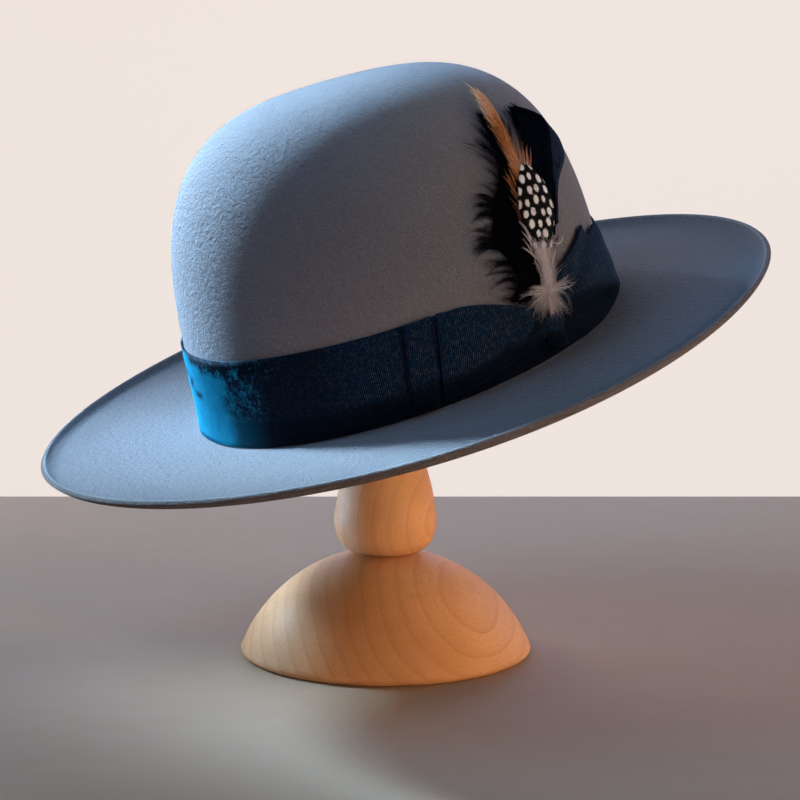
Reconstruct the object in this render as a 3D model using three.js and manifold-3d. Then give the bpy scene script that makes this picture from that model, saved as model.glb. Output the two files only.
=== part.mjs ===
// Felt hat with a ribbon band, a bow and a spray of feathers, on a turned wooden hat stand.
// Millimetres, +Z up. The origin is the centre of the stand's foot, on the table.
// Looking along +Y, the hat's front points left and towards the viewer, and its bow faces right.

import * as THREE from 'three';
import { mergeVertices } from 'three/addons/utils/BufferGeometryUtils.js';
import Module from 'manifold-3d';

const wasm = await Module();
wasm.setup();

// Crown of the hat, measured outside
const headLength = 206;
const headWidth = 174.2;
const crownHeight = 128.3;
const wallHeight = 17;          // below this the wall is straight
const crownTaper = 0.04;        // share of its size that the wall loses up to the top
const shoulderPower = 3.05;     // 2 is an ellipse, more is a squarer shoulder
const softerLeftShoulder = 0.24;
const topShift = { left: 0.9, back: 3.4 };
const topSlope = { left: 0.06, back: -0.09 };
const baseFlare = 1.1;          // the wall opens by this much where it meets the brim
const flareHeight = 9;

// Brim, with a raw edge that curls up all round
const brimWidth = 73.6;
const feltThickness = 2.5;
const curlRadius = 8;
const curlTurn = 55;
const brimWave = [
  { waves: 0, cos: 0.6, sin: 0 },
  { waves: 1, cos: 1.3, sin: -2.3 },
  { waves: 2, cos: -1.1, sin: 1.35 },
  { waves: 3, cos: 0, sin: 0.6 },
];

// Ribbon, 38 mm wide, and the clearance between pieces that touch
const clearance = 0.3;
const ribbonWidth = 37;
const ribbonThickness = 0.8;
const bandBottom = 1.5;
const onBand = 2 * clearance + ribbonThickness;

// How the hat sits on the stand: turned, leaning left and nodding towards the viewer
const hatTurn = -44.9;
const hatLean = -15.7;
const hatNod = 7.7;
const hatPlace = { x: 10.6, y: -1.3, z: 136.3 };

// Turned wooden stand
const footRadius = 65.9;
const footRounding = 2.8;
const domeRadius = 71;
const seatRadius = 12.5;
const bulbOutline = [
  { radius: 12.5, above: 0 },
  { radius: 17.5, above: 1.9 },
  { radius: 21, above: 5.6 },
  { radius: 22.8, above: 11 },
  { radius: 23.1, above: 16.5 },
  { radius: 21.1, above: 29 },
  { radius: 18.5, above: 39 },
  { radius: 14.5, above: 55 },
  { radius: 12, above: 72 },
];
const postRadius = 12;
const headRadius = 45;
const headRim = 38;

// Number of flats round the felt, and round the turned wood
const feltSides = 52;
const woodSides = 36;

const rad = THREE.MathUtils.degToRad;
const mix = THREE.MathUtils.lerp;

// A point of the crown's outside. Angle 0 is the wearer's left and 90 the back.
function crownPoint(angle, height) {
  const c = Math.cos(rad(angle));
  const s = Math.sin(rad(angle));
  const share = height / crownHeight;
  const climb = THREE.MathUtils.clamp((height - wallHeight) / (crownHeight - wallHeight), 0, 1);
  const power = shoulderPower - softerLeftShoulder * c;
  const size = (1 - climb ** power) ** (1 / power) * (1 - crownTaper * share);
  const flare = baseFlare * Math.exp(-height / flareHeight);
  const x = headWidth / 2 * size * c;
  const y = headLength / 2 * size * s;
  const slope = (topSlope.left * x + topSlope.back * y) * share ** 3;
  return new THREE.Vector3(
    x + flare * c + topShift.left * share,
    y + flare * s + topShift.back * share,
    height + slope,
  );
}

// A point that lies a given distance outside the crown
function liftedPoint(angle, height, lift) {
  const step = 0.05;
  const here = crownPoint(angle, height);
  const along = crownPoint(angle + step, height).sub(here);
  const up = crownPoint(angle, height + step).sub(here);
  const outward = along.cross(up).normalize();
  return here.addScaledVector(outward, lift);
}

// Height of the flat of the brim at its edge
function edgeHeight(angle) {
  const turns = brimWave.map((w) => w.cos * Math.cos(w.waves * rad(angle))
    + w.sin * Math.sin(w.waves * rad(angle)));
  return turns.reduce((sum, term) => sum + term, 0);
}

// A point of the brim's upper face. Path runs in mm out from the crown, then round the curl.
const curlStart = brimWidth - (curlRadius + feltThickness) * Math.sin(rad(curlTurn));
function brimPoint(angle, path) {
  const flat = Math.min(path, curlStart);
  const turn = Math.max(path - curlStart, 0) / curlRadius;
  const reach = flat + curlRadius * Math.sin(turn);
  const rise = THREE.MathUtils.smoothstep(flat, 0, curlStart) * edgeHeight(angle);
  const c = Math.cos(rad(angle));
  const s = Math.sin(rad(angle));
  const flare = baseFlare * (1 - reach / brimWidth);
  return new THREE.Vector3(
    (headWidth / 2 + reach + flare) * c,
    (headLength / 2 + reach + flare) * s,
    rise + curlRadius * (1 - Math.cos(turn)),
  );
}

// The felt's upper face as one path: below 0 it climbs the crown, above 0 it crosses the brim
function feltPoint(angle, path) {
  if (path > 0) return brimPoint(angle, path);
  const climb = Math.sin(rad(Math.min(-path, 90))) ** (2 / 3);
  return crownPoint(angle, crownHeight * climb);
}

// The felt's other face, one thickness in
function feltInside(angle, path) {
  const step = 0.4;
  const along = feltPoint(angle + step, path).sub(feltPoint(angle - step, path));
  const out = feltPoint(angle, path + step).sub(feltPoint(angle, path - step));
  const normal = out.cross(along).normalize();
  return feltPoint(angle, path).addScaledVector(normal, -feltThickness);
}

// A closed mesh from vertices and triangles, turned so that its faces point out
function closedMesh(points, triangles) {
  let volume = 0;
  for (const [a, b, c] of triangles) {
    volume += points[a].dot(new THREE.Vector3().crossVectors(points[b], points[c]));
  }
  const faces = volume < 0 ? triangles.map(([a, b, c]) => [a, c, b]) : triangles;
  const geometry = new THREE.BufferGeometry();
  geometry.setAttribute('position', new THREE.Float32BufferAttribute(points.flatMap((p) => p.toArray()), 3));
  geometry.setIndex(faces.flat());
  return geometry;
}

// Rings of points joined in order. A ring of one point is a pole, else the last joins the first.
function loftRings(rings) {
  const points = rings.flat();
  const starts = [];
  let count = 0;
  for (const ring of rings) {
    starts.push(count);
    count += ring.length;
  }
  const triangles = [];
  const isClosed = rings[0].length > 1;
  const joins = isClosed ? rings.length : rings.length - 1;
  for (let i = 0; i < joins; i += 1) {
    const next = (i + 1) % rings.length;
    const sides = Math.max(rings[i].length, rings[next].length);
    for (let j = 0; j < sides; j += 1) {
      const k = (j + 1) % sides;
      const near = (n) => starts[i] + n % rings[i].length;
      const far = (n) => starts[next] + n % rings[next].length;
      if (rings[next].length > 1) triangles.push([near(j), far(j), far(k)]);
      if (rings[i].length > 1) triangles.push([near(j), far(k), near(k)]);
    }
  }
  return closedMesh(points, triangles);
}

// A sheet between an outer and an inner grid of points
function slab(outer, inner) {
  const rows = outer.length;
  const columns = outer[0].length;
  const points = [...outer.flat(), ...inner.flat()];
  const out = (i, j) => i * columns + j;
  const back = (i, j) => rows * columns + i * columns + j;
  const triangles = [];
  const quad = (a, b, c, d) => triangles.push([a, b, c], [a, c, d]);
  for (let i = 0; i + 1 < rows; i += 1) {
    for (let j = 0; j + 1 < columns; j += 1) {
      quad(out(i, j), out(i + 1, j), out(i + 1, j + 1), out(i, j + 1));
      quad(back(i, j), back(i, j + 1), back(i + 1, j + 1), back(i + 1, j));
    }
    quad(out(i, 0), back(i, 0), back(i + 1, 0), out(i + 1, 0));
    quad(out(i, columns - 1), out(i + 1, columns - 1), back(i + 1, columns - 1), back(i, columns - 1));
  }
  for (let j = 0; j + 1 < columns; j += 1) {
    quad(out(0, j), out(0, j + 1), back(0, j + 1), back(0, j));
    quad(out(rows - 1, j), back(rows - 1, j), back(rows - 1, j + 1), out(rows - 1, j + 1));
  }
  return closedMesh(points, triangles);
}

// Ribbon that runs round the head: each row is a cut across it, from its low to its high edge
function bentRibbon(rows, thickness, across = 3) {
  const arc = headLength / 2 * rad(1);
  const outer = [];
  const inner = [];
  rows.forEach((row, i) => {
    const before = rows[Math.max(i - 1, 0)];
    const after = rows[Math.min(i + 1, rows.length - 1)];
    const run = new THREE.Vector2((after.angle - before.angle) * arc, after.lift - before.lift).normalize();
    const cut = (side) => Array.from({ length: across + 1 }, (_, j) => {
      const height = mix(row.low, row.high, j / across);
      const lean = (row.slant ?? 0) * (height - ribbonWidth / 2);
      const angle = row.angle + lean - side * thickness / 2 * run.y / arc;
      return liftedPoint(angle, height, row.lift + side * thickness / 2 * run.x);
    });
    outer.push(cut(1));
    inner.push(cut(-1));
  });
  return slab(outer, inner);
}

// Feather that climbs the crown: each row is a cut across it, from its left to its right edge
function leaf(rows, thickness, across = 3) {
  const face = (depth) => rows.map((row) => Array.from({ length: across + 1 }, (_, j) => {
    const u = j / across;
    const crowned = (row.crowned ?? 0) * 4 * u * (1 - u);
    return liftedPoint(mix(row.left, row.right, u), row.height, row.lift + crowned - depth);
  }));
  return slab(face(0), face(thickness));
}

// A pointed lock of barbs that leaves a backing and bends as it goes
function lock({ angle, height, reach, rise, lift, root, out = 0 }) {
  const steps = 4;
  const rows = Array.from({ length: steps + 1 }, (_, i) => {
    const u = i / steps;
    const half = mix(root, 0.25, u ** 0.8) / 2;
    const centre = { angle: angle + reach * u, height: height + rise * u * u };
    const slope = Math.atan2(2 * rise * u, reach * 1.6) + Math.PI / 2;
    const side = { angle: Math.cos(slope) * half / 1.6, height: Math.sin(slope) * half };
    return { centre, side, lift: lift + out * u };
  });
  const thickness = 0.9;
  const face = (depth) => rows.map(({ centre, side, lift: level }) => [-1, 1].map((sign) => liftedPoint(
    centre.angle + sign * side.angle,
    centre.height + sign * side.height,
    level - depth,
  )));
  return slab(face(0), face(thickness));
}

// Several closed meshes joined into one body, with the small voids between them filled
function fuse(geometries) {
  const solids = geometries.map((geometry) => {
    const merged = mergeVertices(geometry);
    return new wasm.Manifold(new wasm.Mesh({
      numProp: 3,
      vertProperties: Float32Array.from(merged.attributes.position.array),
      triVerts: Uint32Array.from(merged.index.array),
    }));
  });
  const shells = solids.reduce((all, solid) => all.add(solid)).decompose();
  const body = shells.reduce((largest, shell) => (shell.volume() > largest.volume() ? shell : largest));
  const { vertProperties, triVerts } = body.getMesh();
  const geometry = new THREE.BufferGeometry();
  geometry.setAttribute('position', new THREE.Float32BufferAttribute(vertProperties, 3));
  geometry.setIndex(Array.from(triVerts));
  return geometry;
}

// A turned piece: its outline starts and ends on the axis
function turned(outline) {
  const lathe = new THREE.LatheGeometry(outline, woodSides);
  lathe.deleteAttribute('normal');
  lathe.deleteAttribute('uv');
  lathe.rotateX(Math.PI / 2);
  return mergeVertices(lathe, 1e-3);
}

// Felt: crown and brim pressed from one piece, open below
function feltBody() {
  const crownRows = [86, 79, 70, 60, 50, 41, 33, 26, 19.5, 13.5, 8.5, 4.5, 1.5].map((p) => -p);
  const brimRows = [2.5, 16, 33, 50, curlStart];
  const curlRows = [0.28, 0.55, 0.8, 1].map((share) => curlStart + share * curlRadius * rad(curlTurn));
  const paths = [...crownRows, 0, ...brimRows, ...curlRows];
  const angles = Array.from({ length: feltSides }, (_, j) => 360 * j / feltSides);
  const top = crownPoint(0, crownHeight);
  const ceiling = top.clone().add(new THREE.Vector3(0, 0, -feltThickness));
  const upper = paths.map((path) => angles.map((angle) => feltPoint(angle, path)));
  const lower = paths.map((path) => angles.map((angle) => feltInside(angle, path))).reverse();
  return loftRings([[top], ...upper, ...lower, [ceiling]]);
}

// Band: grosgrain ribbon round the foot of the crown
function ribbonBand() {
  const heights = [0, 0.5, 1].map((share) => bandBottom + share * ribbonWidth);
  const ring = (height, lift) => Array.from({ length: feltSides }, (_, j) => (
    liftedPoint(360 * j / feltSides, height, lift)));
  const outside = heights.map((height) => ring(height, clearance + ribbonThickness));
  const inside = heights.map((height) => ring(height, clearance)).reverse();
  return loftRings([...outside, ...inside]);
}

// Keeper: a narrow pleat of ribbon across the band, in front of the bow
const pleatSlant = 0.092;
const keeperRows = [
  { angle: -39.8, lift: onBand + 0.75, low: 2.4, high: 39, slant: pleatSlant },
  { angle: -37.6, lift: onBand + 1.1, low: 2.4, high: 39, slant: pleatSlant },
  { angle: -35.4, lift: onBand + 1.1, low: 2.4, high: 39, slant: pleatSlant },
  { angle: -33.4, lift: onBand + 0.75, low: 2.4, high: 39, slant: pleatSlant },
];

// Loop: one turn of ribbon, folded at its front end and gathered into the knot
const loopWall = 0.7;
const loopBack = onBand + loopWall / 2;
const loopRows = [
  { angle: -3.1, lift: 3.6, low: 10.5, high: 22.5, slant: 0 },
  { angle: -7, lift: 4.7, low: 9.5, high: 26.5, slant: 0 },
  { angle: -12, lift: 5.1, low: 7.6, high: 31, slant: 0.02 },
  { angle: -18, lift: 5.1, low: 5.6, high: 34.4, slant: 0.04 },
  { angle: -24, lift: 4.8, low: 4, high: 36.6, slant: 0.065 },
  { angle: -28.6, lift: 4.1, low: 3.2, high: 38, slant: 0.085 },
  { angle: -31, lift: 3.5, low: 2.8, high: 38.6, slant: pleatSlant },
  { angle: -31.8, lift: 2.8, low: 2.8, high: 38.6, slant: pleatSlant },
  { angle: -31, lift: 2.1, low: 2.8, high: 38.6, slant: pleatSlant },
  { angle: -28.6, lift: loopBack, low: 3.2, high: 38, slant: 0.085 },
  { angle: -24, lift: loopBack, low: 4, high: 36.6, slant: 0.065 },
  { angle: -18, lift: loopBack, low: 5.6, high: 34.4, slant: 0.04 },
  { angle: -12, lift: loopBack, low: 7.6, high: 31, slant: 0.02 },
  { angle: -7, lift: loopBack, low: 9.5, high: 26.5, slant: 0 },
  { angle: -3.1, lift: loopBack, low: 10.5, high: 22.5, slant: 0 },
];

// Knot: the gathered middle of the bow
const knotThickness = 3;
const knotRows = [
  { angle: -2.6, lift: 3, low: 7, high: 22.5 },
  { angle: -1, lift: 3.6, low: 3.8, high: 24.2 },
  { angle: 1.5, lift: 3.8, low: 2.8, high: 25 },
  { angle: 3.4, lift: 3.2, low: 3, high: 23.5 },
];

// Tail: folded ribbon that fans out behind the knot and ends in a swallowtail above the band
const tailThickness = 2.5;
const tailLift = onBand + tailThickness / 2;
const tailRows = [
  { angle: 3.9, low: 4, high: 23 },
  { angle: 6, low: 3.2, high: 31 },
  { angle: 9.5, low: 2.8, high: 35.5 },
  { angle: 15, low: 2.6, high: 39.4 },
  { angle: 20, low: 2.6, high: 42 },
  { angle: 23.8, low: 2.6, high: 44.4 },
  { angle: 27.5, low: 2.6, high: 38.8 },
  { angle: 34.5, low: 2.6, high: 43.4 },
  { angle: 38, low: 2, high: 36 },
  { angle: 42.5, low: 1.4, high: 25 },
  { angle: 47, low: 1.2, high: 13 },
  { angle: 50.5, low: 1.2, high: 5 },
].map((row) => ({ ...row, lift: tailLift }));

// Feathers stand further out over the band than above it
const overBand = (height) => 1.2 * (1 - THREE.MathUtils.smoothstep(height, 40, 46));

// Marabou: the deep black fluff at the front of the spray, with locks that leave its front edge
const marabouLift = 1.6;
const marabouRows = [
  { height: 26.5, left: -2.6, right: 0.6 },
  { height: 30, left: -6, right: 0.8 },
  { height: 34, left: -9.6, right: 1.4 },
  { height: 40, left: -12, right: 4 },
  { height: 47, left: -13, right: 4.8 },
  { height: 56, left: -13, right: 5 },
  { height: 66, left: -11, right: 5.6 },
  { height: 76, left: -7, right: 6.6 },
  { height: 86, left: -2.6, right: 8 },
  { height: 95, left: 1.2, right: 9.4 },
  { height: 103, left: 4.4, right: 9.8 },
].map((row) => ({ ...row, lift: marabouLift + overBand(row.height) }));

function marabouPlume() {
  const fringed = marabouRows.filter((row) => row.height >= 40);
  const locks = fringed.flatMap((row, i) => {
    const climb = i / (fringed.length - 1);
    return [0, 1].map((half) => lock({
      angle: row.left + 2,
      height: row.height + 4 * half,
      reach: -mix(6.5 + 1.8 * Math.sin(3 * i + 2 * half), 3.5, climb ** 2),
      rise: mix(-3, 4, climb) + 2 * half,
      lift: marabouLift + overBand(row.height) - 0.1,
      root: 4.2,
      out: 1.2,
    }));
  });
  return fuse([leaf(marabouRows, 1.2), ...locks]);
}

// Coque feathers: two glossy black blades that bend back over the crown
const backBladeRows = [
  { height: 50, left: 11.5, right: 15.5 },
  { height: 60, left: 15, right: 20 },
  { height: 66, left: 18.5, right: 26 },
  { height: 70, left: 21, right: 37.5 },
  { height: 76, left: 24, right: 42.4 },
  { height: 82, left: 30, right: 41.6 },
  { height: 86, left: 35, right: 39.5 },
].map((row) => ({ ...row, lift: 1.3, crowned: 0.1 }));
const frontBladeRows = [
  { height: 47, left: 5.6, right: 11 },
  { height: 58, left: 8, right: 15.5 },
  { height: 68, left: 11, right: 20 },
  { height: 77, left: 13, right: 26.5 },
  { height: 85, left: 15, right: 36 },
  { height: 91, left: 17, right: 38.6 },
  { height: 96, left: 19, right: 35.5 },
  { height: 100.5, left: 21, right: 26 },
].map((row) => ({ ...row, lift: 3, crowned: 0.1 }));

// Hackle: the long golden feather, split into barbs towards its tip
const hackleRows = [
  { height: 71, left: 6, right: 9 },
  { height: 79, left: 7, right: 11.6 },
  { height: 89, left: 8, right: 12.8 },
  { height: 99, left: 9.8, right: 14.6 },
  { height: 106, left: 11.4, right: 15.6 },
  { height: 111, left: 13.8, right: 17.2 },
  { height: 114.8, left: 17, right: 18.2 },
].map((row) => ({ ...row, lift: 2.8 }));

function goldenHackle() {
  const barbs = [76, 83, 90, 97].map((height, i) => lock({
    angle: 8.6 + 0.9 * i,
    height,
    reach: 3,
    rise: 10,
    lift: 2.75,
    root: 2.4,
    out: 0.2,
  }));
  return fuse([leaf(hackleRows, 0.9, 2), ...barbs]);
}

// Guinea feather: the rounded spotted blade on top of the spray
const guineaRows = [
  { height: 45, left: 2.6, right: 8.4 },
  { height: 51, left: 1.2, right: 11 },
  { height: 57, left: 1.2, right: 15 },
  { height: 64, left: 2, right: 17 },
  { height: 70, left: 5, right: 17.4 },
  { height: 74, left: 9, right: 16.6 },
  { height: 76, left: 12, right: 15 },
].map((row) => ({ ...row, lift: 4.3, crowned: 0.5 }));

// Tuft: the downy foot of the guinea feather, a stem with fluff that spreads over the bow
const tuftRows = [
  { height: 17, left: -3.5, right: 3.5, lift: 7.2 },
  { height: 22, left: -4.6, right: 5, lift: 7.6 },
  { height: 27, left: -2.6, right: 4.4, lift: 6.6 },
  { height: 32, left: 0.4, right: 4.6, lift: 5.2 },
  { height: 38, left: 2.2, right: 5.6, lift: 4.9 },
  { height: 44.4, left: 2.4, right: 5.6, lift: 4.4 },
];

function fluffTuft() {
  const spread = 11;
  const locks = Array.from({ length: spread }, (_, i) => {
    const turn = rad(mix(-215, 35, i / (spread - 1)));
    const length = 13 + 3 * Math.sin(2.4 * i);
    return lock({
      angle: 2.4 * Math.cos(turn),
      height: 21 + 3 * Math.sin(turn),
      reach: length * Math.cos(turn) / 1.6,
      rise: 0.75 * length * Math.sin(turn),
      lift: 7,
      root: 3.4,
      out: 0.4,
    });
  });
  return fuse([leaf(tuftRows, 1.2), ...locks]);
}

// Stand base: a dome on a small rounded foot, with a flat seat on top
const domeCentre = footRounding - Math.sqrt(domeRadius ** 2 - footRadius ** 2);
const seatHeight = domeCentre + Math.sqrt(domeRadius ** 2 - (seatRadius + 1) ** 2);

function standBase() {
  const start = Math.asin((footRounding - domeCentre) / domeRadius);
  const end = Math.asin((seatHeight - domeCentre) / domeRadius);
  const steps = 9;
  const dome = Array.from({ length: steps + 1 }, (_, i) => {
    const turn = mix(start, end, i / steps);
    return new THREE.Vector2(domeRadius * Math.cos(turn), domeCentre + domeRadius * Math.sin(turn));
  });
  const foot = [[0, 0], [footRadius - footRounding, 0], [footRadius - 0.8, 0.9]];
  return turned([
    ...foot.map(([radius, height]) => new THREE.Vector2(radius, height)),
    ...dome,
    new THREE.Vector2(0, seatHeight),
  ]);
}

// Height at which a ball on the stand's axis just clears the felt above it
function headCentre(hat, felt) {
  const place = felt.getAttribute('position');
  const corner = (i) => new THREE.Vector3()
    .fromBufferAttribute(place, felt.index.getX(i))
    .applyMatrix4(hat.matrixWorld);
  const room = headRadius + clearance;
  const parts = 4;
  let lowest = Infinity;
  for (let i = 0; i < felt.index.count; i += 3) {
    const [a, b, c] = [corner(i), corner(i + 1), corner(i + 2)];
    for (let u = 0; u <= parts; u += 1) {
      for (let v = 0; u + v <= parts; v += 1) {
        const p = a.clone().multiplyScalar(parts - u - v).addScaledVector(b, u).addScaledVector(c, v);
        p.divideScalar(parts);
        const inRoom = room ** 2 - p.x ** 2 - p.y ** 2;
        if (inRoom > 0 && p.z > hatPlace.z) lowest = Math.min(lowest, p.z - Math.sqrt(inRoom));
      }
    }
  }
  return lowest;
}

// Stand stem: the turned bulb, and above it the plain post and rounded head inside the crown
function standStem(hat, felt) {
  const foot = seatHeight + clearance;
  const centre = headCentre(hat, felt);
  const bulb = new THREE.SplineCurve(bulbOutline.map((p) => new THREE.Vector2(p.radius, foot + p.above)));
  const rim = centre + Math.sqrt(headRadius ** 2 - headRim ** 2);
  const start = Math.asin((rim - centre) / headRadius);
  const steps = 6;
  const ball = Array.from({ length: steps }, (_, i) => {
    const turn = mix(start, Math.PI / 2, i / steps);
    return new THREE.Vector2(headRadius * Math.cos(turn), centre + headRadius * Math.sin(turn));
  });
  return turned([
    new THREE.Vector2(0, foot),
    ...bulb.getSpacedPoints(14),
    new THREE.Vector2(postRadius, rim - 16),
    new THREE.Vector2(headRim - 3, rim - 4),
    ...ball,
    new THREE.Vector2(0, centre + headRadius),
  ]);
}

const finishes = {
  felt: { color: 0x7b797c, roughness: 0.95, metalness: 0 },
  ribbon: { color: 0x10222e, roughness: 0.6, metalness: 0 },
  blackFeather: { color: 0x0b0b10, roughness: 0.5, metalness: 0 },
  goldFeather: { color: 0xbf6e30, roughness: 0.6, metalness: 0 },
  spottedFeather: { color: 0x2a2724, roughness: 0.6, metalness: 0 },
  down: { color: 0xa89088, roughness: 0.9, metalness: 0 },
  wood: { color: 0xb9825a, roughness: 0.5, metalness: 0 },
};

const object = new THREE.Group();
const hat = new THREE.Group();
hat.rotation.set(rad(hatNod), rad(hatLean), rad(hatTurn), 'YXZ');
hat.position.set(hatPlace.x, hatPlace.y, hatPlace.z);
hat.updateMatrixWorld();
object.add(hat);

function addPiece(group, name, geometry, finish) {
  const mesh = new THREE.Mesh(geometry, new THREE.MeshStandardMaterial(finishes[finish]));
  mesh.name = name;
  group.add(mesh);
}

const felt = feltBody();
addPiece(hat, 'felt_body', felt, 'felt');
addPiece(hat, 'ribbon_band', ribbonBand(), 'ribbon');
addPiece(hat, 'bow_keeper', bentRibbon(keeperRows, 1.5), 'ribbon');
addPiece(hat, 'bow_loop', bentRibbon(loopRows, loopWall), 'ribbon');
addPiece(hat, 'bow_knot', bentRibbon(knotRows, knotThickness), 'ribbon');
addPiece(hat, 'bow_tail', bentRibbon(tailRows, tailThickness), 'ribbon');
addPiece(hat, 'marabou_plume', marabouPlume(), 'blackFeather');
addPiece(hat, 'coque_feather_back', leaf(backBladeRows, 0.9, 5), 'blackFeather');
addPiece(hat, 'coque_feather_front', leaf(frontBladeRows, 1, 5), 'blackFeather');
addPiece(hat, 'golden_hackle', goldenHackle(), 'goldFeather');
addPiece(hat, 'guinea_feather', leaf(guineaRows, 0.9), 'spottedFeather');
addPiece(hat, 'fluff_tuft', fluffTuft(), 'down');
addPiece(object, 'stand_base', standBase(), 'wood');
addPiece(object, 'stand_stem', standStem(hat, felt), 'wood');

export default object;
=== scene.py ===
# %% [markdown]
# A felt hat on a turned wooden stand, dressed in Blender.
#
# The hat is a soft round-crowned felt with a curled brim, a grosgrain ribbon, a bow and a spray of
# feathers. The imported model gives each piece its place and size, and this file gives it its finish.
# Each lesson below says what a piece is on the real hat, how it could be made, and why it is made
# this way. All sizes are real ones. They are written in millimetres and placed in metres.

# %% Load the fixed frame and note the size of the whole object
import math

import bpy
import numpy as np
from mathutils import Matrix, Vector


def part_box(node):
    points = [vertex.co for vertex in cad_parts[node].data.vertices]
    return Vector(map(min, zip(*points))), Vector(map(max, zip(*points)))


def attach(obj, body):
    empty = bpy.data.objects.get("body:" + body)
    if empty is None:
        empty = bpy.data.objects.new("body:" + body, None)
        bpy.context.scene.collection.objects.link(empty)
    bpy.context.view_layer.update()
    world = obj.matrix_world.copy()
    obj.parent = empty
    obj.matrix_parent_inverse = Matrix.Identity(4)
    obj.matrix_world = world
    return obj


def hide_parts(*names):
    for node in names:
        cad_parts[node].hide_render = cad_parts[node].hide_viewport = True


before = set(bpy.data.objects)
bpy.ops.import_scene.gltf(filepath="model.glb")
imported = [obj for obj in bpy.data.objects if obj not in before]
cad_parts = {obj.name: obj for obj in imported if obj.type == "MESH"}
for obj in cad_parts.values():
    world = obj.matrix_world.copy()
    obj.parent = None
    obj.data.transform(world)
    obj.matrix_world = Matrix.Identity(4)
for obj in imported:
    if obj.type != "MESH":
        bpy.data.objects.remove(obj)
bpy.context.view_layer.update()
print("nodes in the frame:", len(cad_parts))


# %% [markdown]
# The camera stands where the photographer stood: a little above the brim, looking down by nine
# degrees through a long lens. A long lens keeps the far side of the brim nearly as large as the
# near side. A camera can be turned by hand or told to look at a point. A point is easier to read.

# %% Camera
MM = 0.001


def in_scene(name, data, place=(0, 0, 0), aim=None):
    """A new object in the scene. If it has an aim, it looks at that point."""
    item = bpy.data.objects.new(name, data)
    item.location = place
    if aim is not None:
        item.rotation_euler = (Vector(aim) - Vector(place)).to_track_quat("-Z", "Y").to_euler()
    bpy.context.scene.collection.objects.link(item)
    return item


camera_place = Vector((6.56, -1283.83, 320.27)) * MM
camera_aim = Vector((6.56, 0, 115.84)) * MM
camera = in_scene("camera", bpy.data.cameras.new("camera"), camera_place, camera_aim)
camera.data.lens = 130.06
camera.data.sensor_width = 36
bpy.context.scene.camera = camera
print("camera distance, m:", round((camera_aim - camera_place).length, 3))


# %% [markdown]
# Materials here are trees of nodes. A small helper adds a node, sets its inputs and returns it, so
# that each material below reads as a recipe. Object coordinates are in metres from the stand's
# foot, so a noise scale of 1000 has cells about one millimetre wide.

# %% Helpers for materials
def new_material(name):
    """An empty material and its tree of nodes."""
    material = bpy.data.materials.new(name)
    material.use_nodes = True
    material.node_tree.nodes.clear()
    return material, material.node_tree


def fill(tree, socket, value):
    """A link to another node's output, or a plain value. A colour is its red, green and blue."""
    if isinstance(value, bpy.types.NodeSocket):
        tree.links.new(value, socket)
    else:
        socket.default_value = (*value, 1) if socket.type == "RGBA" else value


def add(tree, kind, settings=None, **inputs):
    """A node with its settings and its inputs. An input goes by its name, or i and its number."""
    node = tree.nodes.new(kind)
    for key, value in (settings or {}).items():
        setattr(node, key, value)
    for key, value in inputs.items():
        numbered = key[0] == "i" and key[1:].isdigit()
        fill(tree, node.inputs[int(key[1:]) if numbered else key.replace("_", " ")], value)
    return node


def place_of(tree, scale=(1, 1, 1), shift=(0, 0, 0)):
    """Object coordinates, scaled and shifted."""
    coords = add(tree, "ShaderNodeTexCoord").outputs["Object"]
    mapping = add(tree, "ShaderNodeMapping", Vector=coords, Scale=scale, Location=shift)
    return mapping.outputs["Vector"]


def stored(tree, name):
    """A number that was kept on the points."""
    return add(tree, "ShaderNodeAttribute", {"attribute_name": name}).outputs["Fac"]


def noise(tree, vector, scale, detail, roughness, distortion=0):
    return add(tree, "ShaderNodeTexNoise", Vector=vector, Scale=scale, Detail=detail,
               Roughness=roughness, Distortion=distortion).outputs["Fac"]


def span(tree, value, low, high, to_low=0, to_high=1):
    """A value moved from one range to another, and held inside it."""
    return add(tree, "ShaderNodeMapRange", Value=value, From_Min=low, From_Max=high,
               To_Min=to_low, To_Max=to_high).outputs["Result"]


def maths(tree, operation, a, b=0.0):
    return add(tree, "ShaderNodeMath", {"operation": operation}, i0=a, i1=b).outputs[0]


def times(tree, a, b):
    return maths(tree, "MULTIPLY", a, b)


def plus(tree, a, b):
    return maths(tree, "ADD", a, b)


def vectors(tree, operation, a, **inputs):
    return add(tree, "ShaderNodeVectorMath", {"operation": operation}, i0=a, **inputs).outputs[0]


def blend(tree, share, a, b):
    return add(tree, "ShaderNodeMix", {"data_type": "RGBA"}, i0=share, i6=a, i7=b).outputs[2]


def layered(tree, base, *layers):
    """A colour with other colours laid over it, each by its share."""
    for share, shade in layers:
        base = blend(tree, share, base, shade)
    return base


def bump(tree, height, distance, strength, under=None):
    below = {} if under is None else {"Normal": under}
    return add(tree, "ShaderNodeBump", Height=height, Distance=distance, Strength=strength,
               **below).outputs["Normal"]


def finish_material(tree, **inputs):
    """The shader of a material. Plain numbers are set on the shader's own sockets."""
    shader = add(tree, "ShaderNodeBsdfPrincipled", **inputs)
    add(tree, "ShaderNodeOutputMaterial", Surface=shader.outputs[0])


# %% [markdown]
# The hat sits on the stand at a jaunty angle: it is turned so that its front points to the left and
# towards the viewer, it leans to the left, and it nods. Every piece of the hat is first worked out
# in the hat's own frame, with the crown's foot at the origin, and then placed by one matrix.

# %% Place of the hat on its stand
hat_turn, hat_lean, hat_nod = -44.9, -15.7, 7.7
hat_place = (10.6, -1.3, 136.3)
hat_matrix = (
    Matrix.Rotation(math.radians(hat_lean), 3, "Y")
    @ Matrix.Rotation(math.radians(hat_nod), 3, "X")
    @ Matrix.Rotation(math.radians(hat_turn), 3, "Z")
)


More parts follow.
